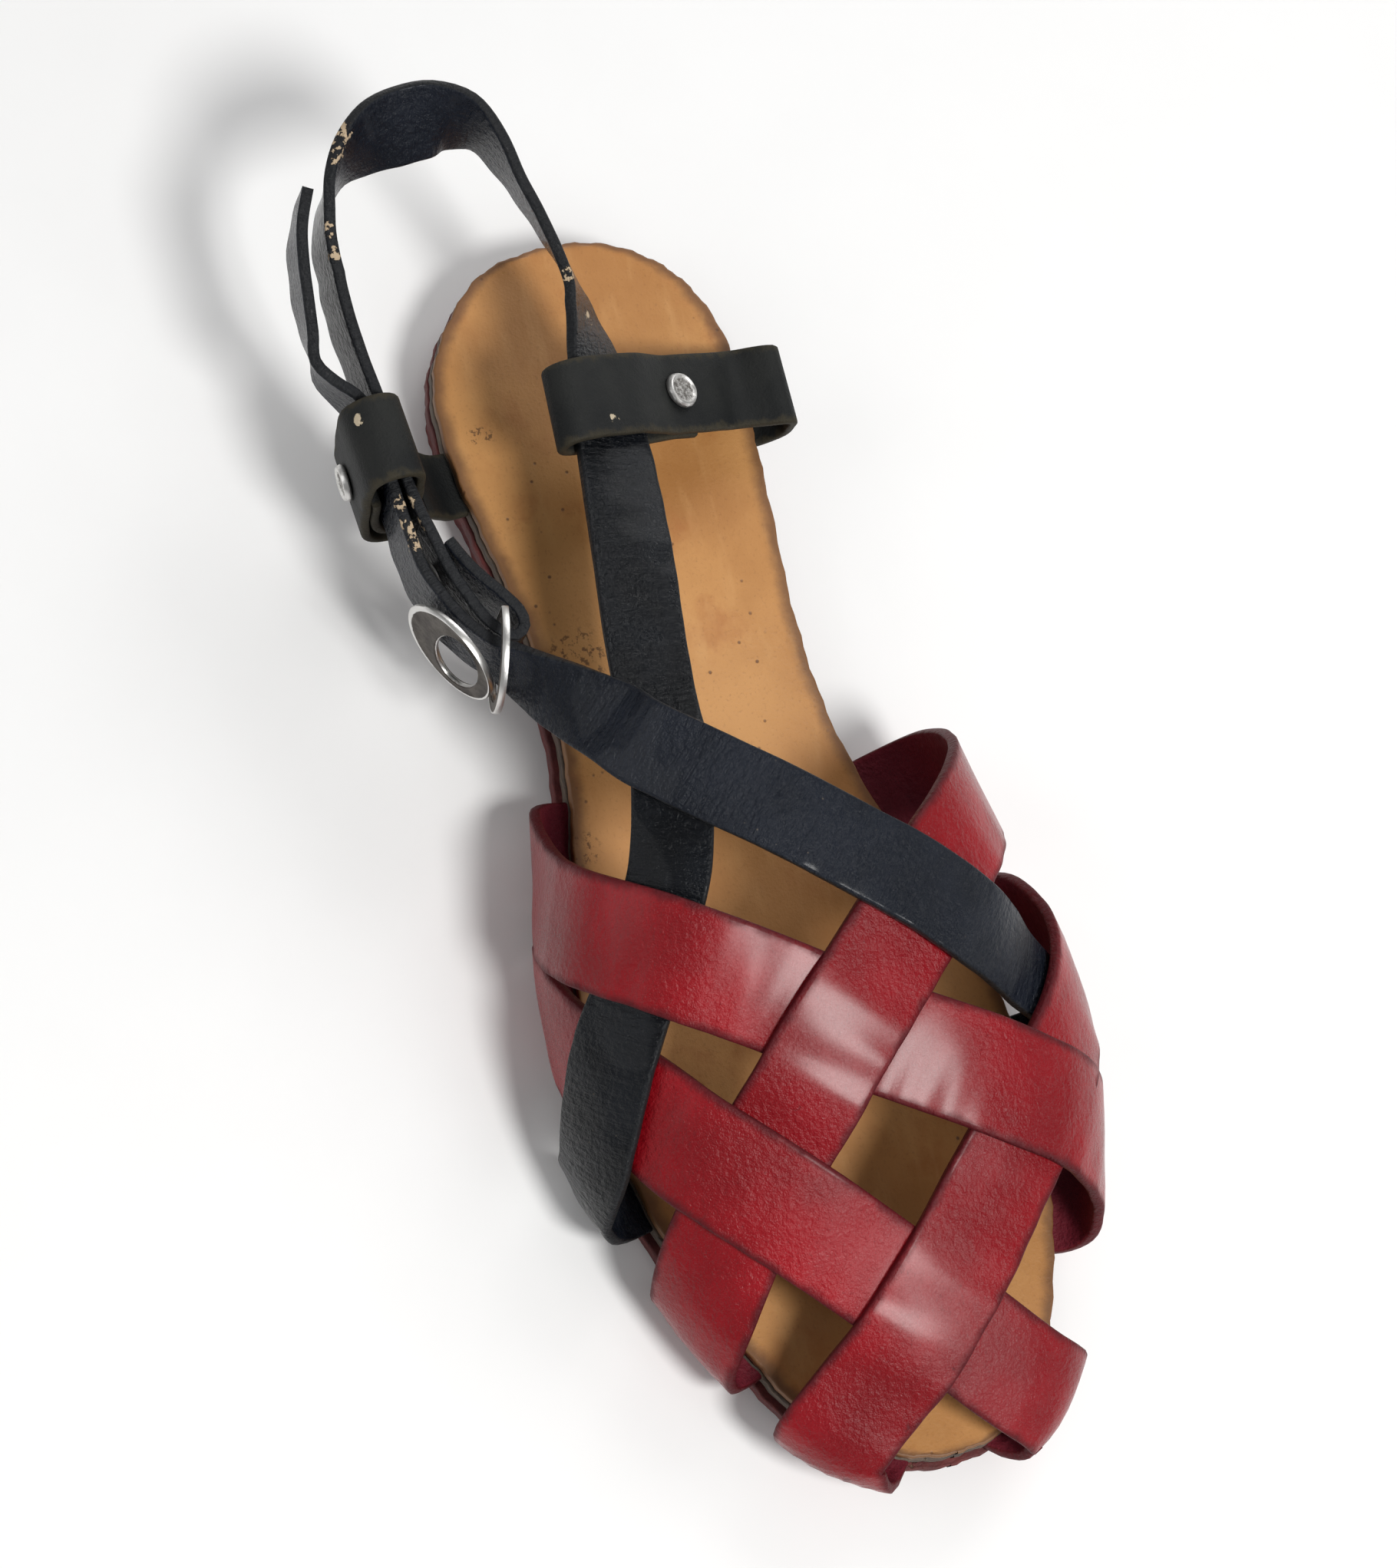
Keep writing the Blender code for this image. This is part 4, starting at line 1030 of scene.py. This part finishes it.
def ringShape(name, centre, axis, held, hole):
    # A flat ring with an off-centre hole, cut off straight at the bar where the hole reaches the rim.
    axis = unit(np.array(axis))
    held = unit(np.array(held) - axis * np.dot(held, axis))
    cross = np.cross(axis, held)
    high, length, shift, bar = [share * ringRadius for share in hole]
    outer = bar + ringBar if bar else 1.0
    inner = bar if bar else 1.0
    lines = ringCut["lines"]
    points, rims = [], []
    for k in range(ringCut["sides"]):
        angle = 2 * math.pi * k / ringCut["sides"]
        x, y = math.cos(angle), math.sin(angle)
        far = np.array([min(ringRadius * x, outer), ringRadius * y])
        near = np.array([min(length * x + shift, inner), high * y])
        section = []
        for t in lines:
            end = min(t, 1 - t)
            tall = 0.5 * ringThick
            if end < 0.02:
                tall *= ringCut["edge"]
            elif end >= 0.15:
                tall *= 1 - ringCut["sunk"]
            section.append((near + (far - near) * t, tall, 1.0 if t > 0.85 or t < 0.02 else 0.0))
        for side in (1, -1):
            for (a, b), tall, rim in section if side == 1 else section[::-1]:
                points.append(centre + held * a + cross * b + axis * tall * side)
                rims.append(rim)
    count = 2 * len(lines)
    faces = []
    for k in range(ringCut["sides"]):
        n = (k + 1) % ringCut["sides"]
        for j in range(count):
            m = (j + 1) % count
            faces.append((k * count + j, k * count + m, n * count + m, n * count + j))
    return addPiece(name, points, faces, "nickel", {"rim": rims}, 40)


rivetCut = {
    "sides": 48,
    "head": (  # share of rivetRadius and of the dome's height
        (0.0, 0.72), (0.35, 0.70), (0.62, 0.66), (0.72, 0.80), (0.80, 1.0), (0.88, 0.95), (0.96, 0.62),
        (1.0, 0.2), (0.97, 0.0), (0.4, 0.0),
    ),
    "foot": ((0.4, 0.0), (0.75, 0.0), (0.75, 0.0004), (0.5, 0.0006), (0.0, 0.0006)),
}


def rivetShape(name, centre, axis, grip, dome):
    # A head with a raised rim, its shank and the flat foot behind.
    axis = unit(np.array(axis))
    across = unit(np.cross(axis, (0.3, 0.2, 1.0)))
    up = np.cross(axis, across)
    half = grip / 2 + seam
    profile = [(share, half + dome * high) for share, high in rivetCut["head"]]
    profile += [(share, -half - low) for share, low in rivetCut["foot"]]
    sides = rivetCut["sides"]
    points, rims, faces = [], [], []
    for share, height in profile:
        for k in range(sides):
            angle = 2 * math.pi * k / sides
            turn = across * math.cos(angle) + up * math.sin(angle)
            points.append(centre + axis * height + turn * rivetRadius * share)
            rims.append(0.75 if share > 0.7 else 0.55)
    for i in range(len(profile) - 1):
        for k in range(sides):
            n = (k + 1) % sides
            faces.append((i * sides + k, i * sides + n, (i + 1) * sides + n, (i + 1) * sides + k))
    return addPiece(name, points, faces, "nickel", {"rim": rims}, 40)


def outsoleRim(place):
    return outsoleRimMost * smooth(((0.0, 0.15), (0.2, 0.35), (0.42, 1.0), (1.0, 1.1)), 1, alongShare(place))


outTop = outsoleThick
midLow = outTop + seam
midTop = midLow + midsoleThick
inLow = midTop + seam
midsoleRim = 0.25  # rims of the midsole and the heel lift, in shares of the outsole's
liftRim = -0.55
liftLength = 15 / 46  # where the heel lift ends, as a place along the sole
footbed = (
    (0.000, -0.003, 0.030, 0.022, 0.0007),
    (0.150, 0.020, 0.026, 0.024, 0.0006),
    (0.135, -0.015, 0.022, 0.016, 0.0004),
    (0.197, 0.020, 0.012, 0.010, 0.0004),
)


def addLayer(node, low, high, rim, look, slot, **more):
    dress(soleShape(node + "_shape", low, high, rim, look, **more), node)


buildLast()
addLayer("outsole", bottom, lambda x: bottom(x) + outTop, outsoleRim, "outsole", "outsole_leather")
addLayer("midsole", lambda x: bottom(x) + midLow, lambda x: bottom(x) + midTop,
         lambda place: midsoleRim * outsoleRim(place), "midsole", "midsole_board")
addLayer("insole", lambda x: bottom(x) + inLow, lambda x: bottom(x) + inLow + insoleThick,
         lambda place: 0.0, "insole", "insole_leather", dents=footbed)
addLayer("heel_lift", lambda x: 0.0, lambda x: heelRise - seam, lambda place: liftRim * outsoleRimMost,
         "outsole", "outsole_leather", last=liftLength)
print("sole made")

vampKeys = [0, 0.022, 0.045, 0.06, 0.075, 0.09, 0.11, 0.13, 0.155, 0.18, 0.205, 0.235, 0.27, 0.305, 0.34]
vampKeys += [0.375, 0.41, 0.45, 0.49, 0.53, 0.565, 0.60, 0.635, 0.67, 0.705, 0.74, 0.77, 0.80, 0.825]
vampKeys += [0.85, 0.87, 0.89, 0.91, 0.925, 0.94, 0.955, 0.978, 1.0]
vamp = {
    "p1": {"route": p1Route, "creases": ((0.22, 0.00018, 0.0022, 0.10), (0.58, 0.00015, 0.0030, -0.15))},
    "p2": {"route": p2Route, "creases": ((0.34, 0.00018, 0.0026, 0.12), (0.70, 0.00016, 0.0022, 0.05))},
    "q1": {"route": q1Route, "creases": ((0.40, 0.00016, 0.0026, -0.10), (0.80, 0.00022, 0.0024, 0.10))},
    "q2": {"route": q2Route, "creases": ((0.30, 0.00016, 0.0024, 0.08), (0.82, 0.00020, 0.0026, -0.12))},
}
laneShares = strapCut["lanes"]
for name, item in vamp.items():
    lanes = refine(routeLanes(item["route"], redWidth, redThick, laneShares, vampKeys), strapCut["step"])
    made = strapShape("vamp_strap_" + name, lanes, redWidth, redThick, "red", item["creases"])
    dress(made, "woven_vamp")
print("vamp made")


def blackStrap(node, route, keys, rows, creases):
    # A strap laid on the last as far as its route goes, then free.
    laid = routeLanes(route, blackWidth, blackThick, laneShares, keys)
    free = leaningLanes(rows, blackWidth, laneShares, laid[-1].mean(axis=0))
    if np.linalg.norm(free[0][0] - laid[-1][0]) > np.linalg.norm(free[0][-1] - laid[-1][0]):
        free = free[:, ::-1]
    lanes = refine(np.concatenate([laid, free]), strapCut["step"])
    dress(strapShape(node + "_shape", lanes, blackWidth, blackThick, "black", creases), node)


instepCreases = ((0.12, 0.0002, 0.002, 0.1), (0.47, 0.0002, 0.0018, 0.2), (0.56, 0.00015, 0.0018, -0.2))
ankleCreases = (
    (0.14, 0.0002, 0.002, 0.1),
    (0.30, 0.00016, 0.002, 0.1),
    (0.52, 0.0002, 0.0018, 0.15),
    (0.74, 0.0002, 0.0016, 0.1),
)
instepKeys = [k for k in vampKeys[::-1] if k >= instepRoute[-1][0]]
ankleKeys = [k for k in vampKeys if k <= ankleRoute[-1][0]]
blackStrap("instep_strap", instepRoute, instepKeys, instepRun, instepCreases)
blackStrap("ankle_strap", ankleRoute, ankleKeys, ankleRun + foldRun, ankleCreases)
print("black straps made")

heldGap = 0.0004  # between the two straps in the outer keeper


def headingAt(rows, key):
    return unit(tableCentre(rows, key + 0.02) - tableCentre(rows, key - 0.02))


def addKeeper(node, lanes):
    made = strapShape(node + "_shape", refine(lanes, strapCut["keeperStep"]), keeperWidth, keeperThick, "keeper")
    dress(made, node)


low = ankleRun[21:]  # the rows that run level from the sling to the ring
sling = tableCentre(low, outerKeeperAt[1])
heading = unit(headingAt(low, outerKeeperAt[1]) * (1.0, 1.0, 0.0))
level = np.array([-heading[1], heading[0], 0.0])
lean = math.radians(keeperLean)
rise = np.array([0.0, 0.0, 1.0])
inwards = level * math.cos(lean) + rise * math.sin(lean)
rise = rise * math.cos(lean) - level * math.sin(lean)
outwards = -inwards
middle = sling + outwards * (blackThick + heldGap) / 2
climb = (
    (-tuck, 0.0, 0.8),
    (-tuck / 2, 0.0, 0.8),
    (0.0, 0.0, 0.8),
    (0.0035, 0.0012, 0.82),
    (0.0068, 0.0050, 0.86),
    (0.0100, 0.0095, 0.92),
)
lanes = keeperLanes(middle, heading, inwards, rise, outerLoop, outerSkew, outerKeeperAt[0], -1, climb)
addKeeper("outer_keeper", lanes)

front = ankleRun[:11]  # the rows over the insole
centre = tableCentre(front, innerKeeperAt[1])
heading = headingAt(front, innerKeeperAt[1])
tilt = math.radians(-smooth(sorted(front), 3, innerKeeperAt[1]))
inwards = unit(np.cross((0, 0, 1.0), heading))
down = unit(-inwards * math.cos(tilt) + np.array([0, 0, math.sin(tilt)]))
if down[1] > 0:
    down = -down
upward = unit(np.cross(heading, down))
if upward[2] < 0:
    upward = -upward
climb = (
    (-tuck, 0.0, 0.9),
    (-tuck / 2, 0.0, 0.9),
    (0.0, 0.0, 0.9),
    (0.0030, 0.0012, 0.9),
    (0.0054, 0.0045, 0.92),
    (0.0060, 0.0090, 0.95),
    (0.0045, 0.0135, 1.0),
)
lanes = keeperLanes(centre, heading, down, upward, innerLoop, innerSkew, innerKeeperAt[0], 1, climb)
addKeeper("inner_keeper", lanes)
print("keepers made")


# Rivets: where they sit on the keepers and how far apart the walls are there, in shares of loopUnit
rivets = {"outerDrop": 0.22, "innerReach": 1.08, "innerGap": 0.185, "dome": 0.0013, "flatDome": 0.0006}


def addRivet(node, point, axis, grip, dome=rivets["dome"]):
    dress(rivetShape(node + "_shape", point, axis, grip, dome), node)


walls = outerLoop[4][0], outerLoop[16][0]
point = middle - outwards * loopUnit * (walls[0] + walls[1]) / 2
point = point - (rise + heading * outerSkew[1]) * rivets["outerDrop"] * loopUnit
addRivet("rivet_outer_keeper", point, outwards, abs(walls[0] - walls[1]) * loopUnit + keeperThick)
point = centre - (down + heading * innerSkew[0]) * loopUnit * rivets["innerReach"]
addRivet("rivet_inner_keeper", point, upward, rivets["innerGap"] * loopUnit + keeperThick)
ends = [placed(row) for row in foldRivetAt]
grip = np.linalg.norm(ends[1] - ends[0]) + blackThick + 2 * seam
addRivet("rivet_fold", (ends[0] + ends[1]) / 2, ends[0] - ends[1], grip, rivets["flatDome"])

# Rings: one with its bar in the fold and the instep strap through it, one lying on the strap's outer face
rings = {
    "ahead": np.array([0.968, -0.25, 0.0]),
    "threadedAxis": (0.247, 0.956, 0.05),
    "restingAxis": (0.495, -0.869, 0.016),
    "restingAlong": (0.869, 0.495, 0.0),
}
centre = placed(threadedRingAt) + rings["ahead"] * (threadedHole[3] * ringRadius + ringBar / 2)
made = ringShape("ring_threaded_shape", centre, rings["threadedAxis"], -rings["ahead"], threadedHole)
dress(made, "ring_threaded")
centre = placed(restingRingAt)
made = ringShape("ring_resting_shape", centre, rings["restingAxis"], rings["restingAlong"], restingHole)
dress(made, "ring_resting")
print("rings and rivets made")

# The camera that was fitted to the photo
view = {
    "eye": Vector((0.222580, -0.192487, 0.626981)),
    "sight": Vector((-0.206, 0.292, -0.934)),
    "up": Vector((-0.946, 0.183, 0.266)),
    "lens": 76.53,
}
eye = view["eye"]
back = -view["sight"].normalized()
right = view["up"].cross(back).normalized()
above = back.cross(right)
camera = bpy.data.objects.new("camera", bpy.data.cameras.new("camera"))
camera.data.lens = view["lens"]
camera.data.sensor_width = 36
camera.data.clip_end = 20
camera.matrix_world = Matrix((
    (right.x, above.x, back.x, eye.x),
    (right.y, above.y, back.y, eye.y),
    (right.z, above.z, back.z, eye.z),
    (0, 0, 0, 1),
))
bpy.context.scene.collection.objects.link(camera)
bpy.context.scene.camera = camera

reach = 3
corners = [(-reach, -reach, 0), (reach, -reach, 0), (reach, reach, 0), (-reach, reach, 0)]
floor = addPiece("floor", corners, [(0, 1, 2, 3)], "floor")

lamps = {
    "key": {"place": (0.54, 0.17, 0.98), "size": 0.28, "watts": 7.5, "tint": (1.0, 0.99, 0.97)},
    "overhead": {"place": (-0.85, 0.85, 0.95), "size": 0.9, "watts": 5.5, "tint": (1.0, 1.0, 1.0)},
    "toe side": {"place": (0.85, 0.35, 0.75), "size": 0.7, "watts": 2.0, "tint": (0.97, 0.98, 1.0)},
    "outer side": {"place": (-0.15, -0.95, 0.6), "size": 0.8, "watts": 2.2, "tint": (1.0, 1.0, 1.0)},
    "heel side": {"place": (-0.85, 0.3, 0.7), "size": 0.7, "watts": 1.8, "tint": (1.0, 0.99, 0.98)},
}
aim = Vector((0.09, 0.0, 0.03))
for name, item in lamps.items():
    lamp = bpy.data.lights.new(name, "AREA")
    lamp.shape = "DISK"
    lamp.size = item["size"]
    lamp.energy = item["watts"]
    lamp.color = item["tint"]
    holder = bpy.data.objects.new(name, lamp)
    holder.location = item["place"]
    holder.rotation_euler = (Vector(item["place"]) - aim).to_track_quat("Z", "Y").to_euler()
    bpy.context.scene.collection.objects.link(holder)

world = bpy.data.worlds.new("studio")
world.use_nodes = True
sky = world.node_tree.nodes["Background"].inputs
sky["Color"].default_value = (1.0, 1.0, 1.0, 1.0)
sky["Strength"].default_value = 0.22
bpy.context.scene.world = world
bpy.context.scene.view_settings.view_transform = "Standard"

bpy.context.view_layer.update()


print("scene made")
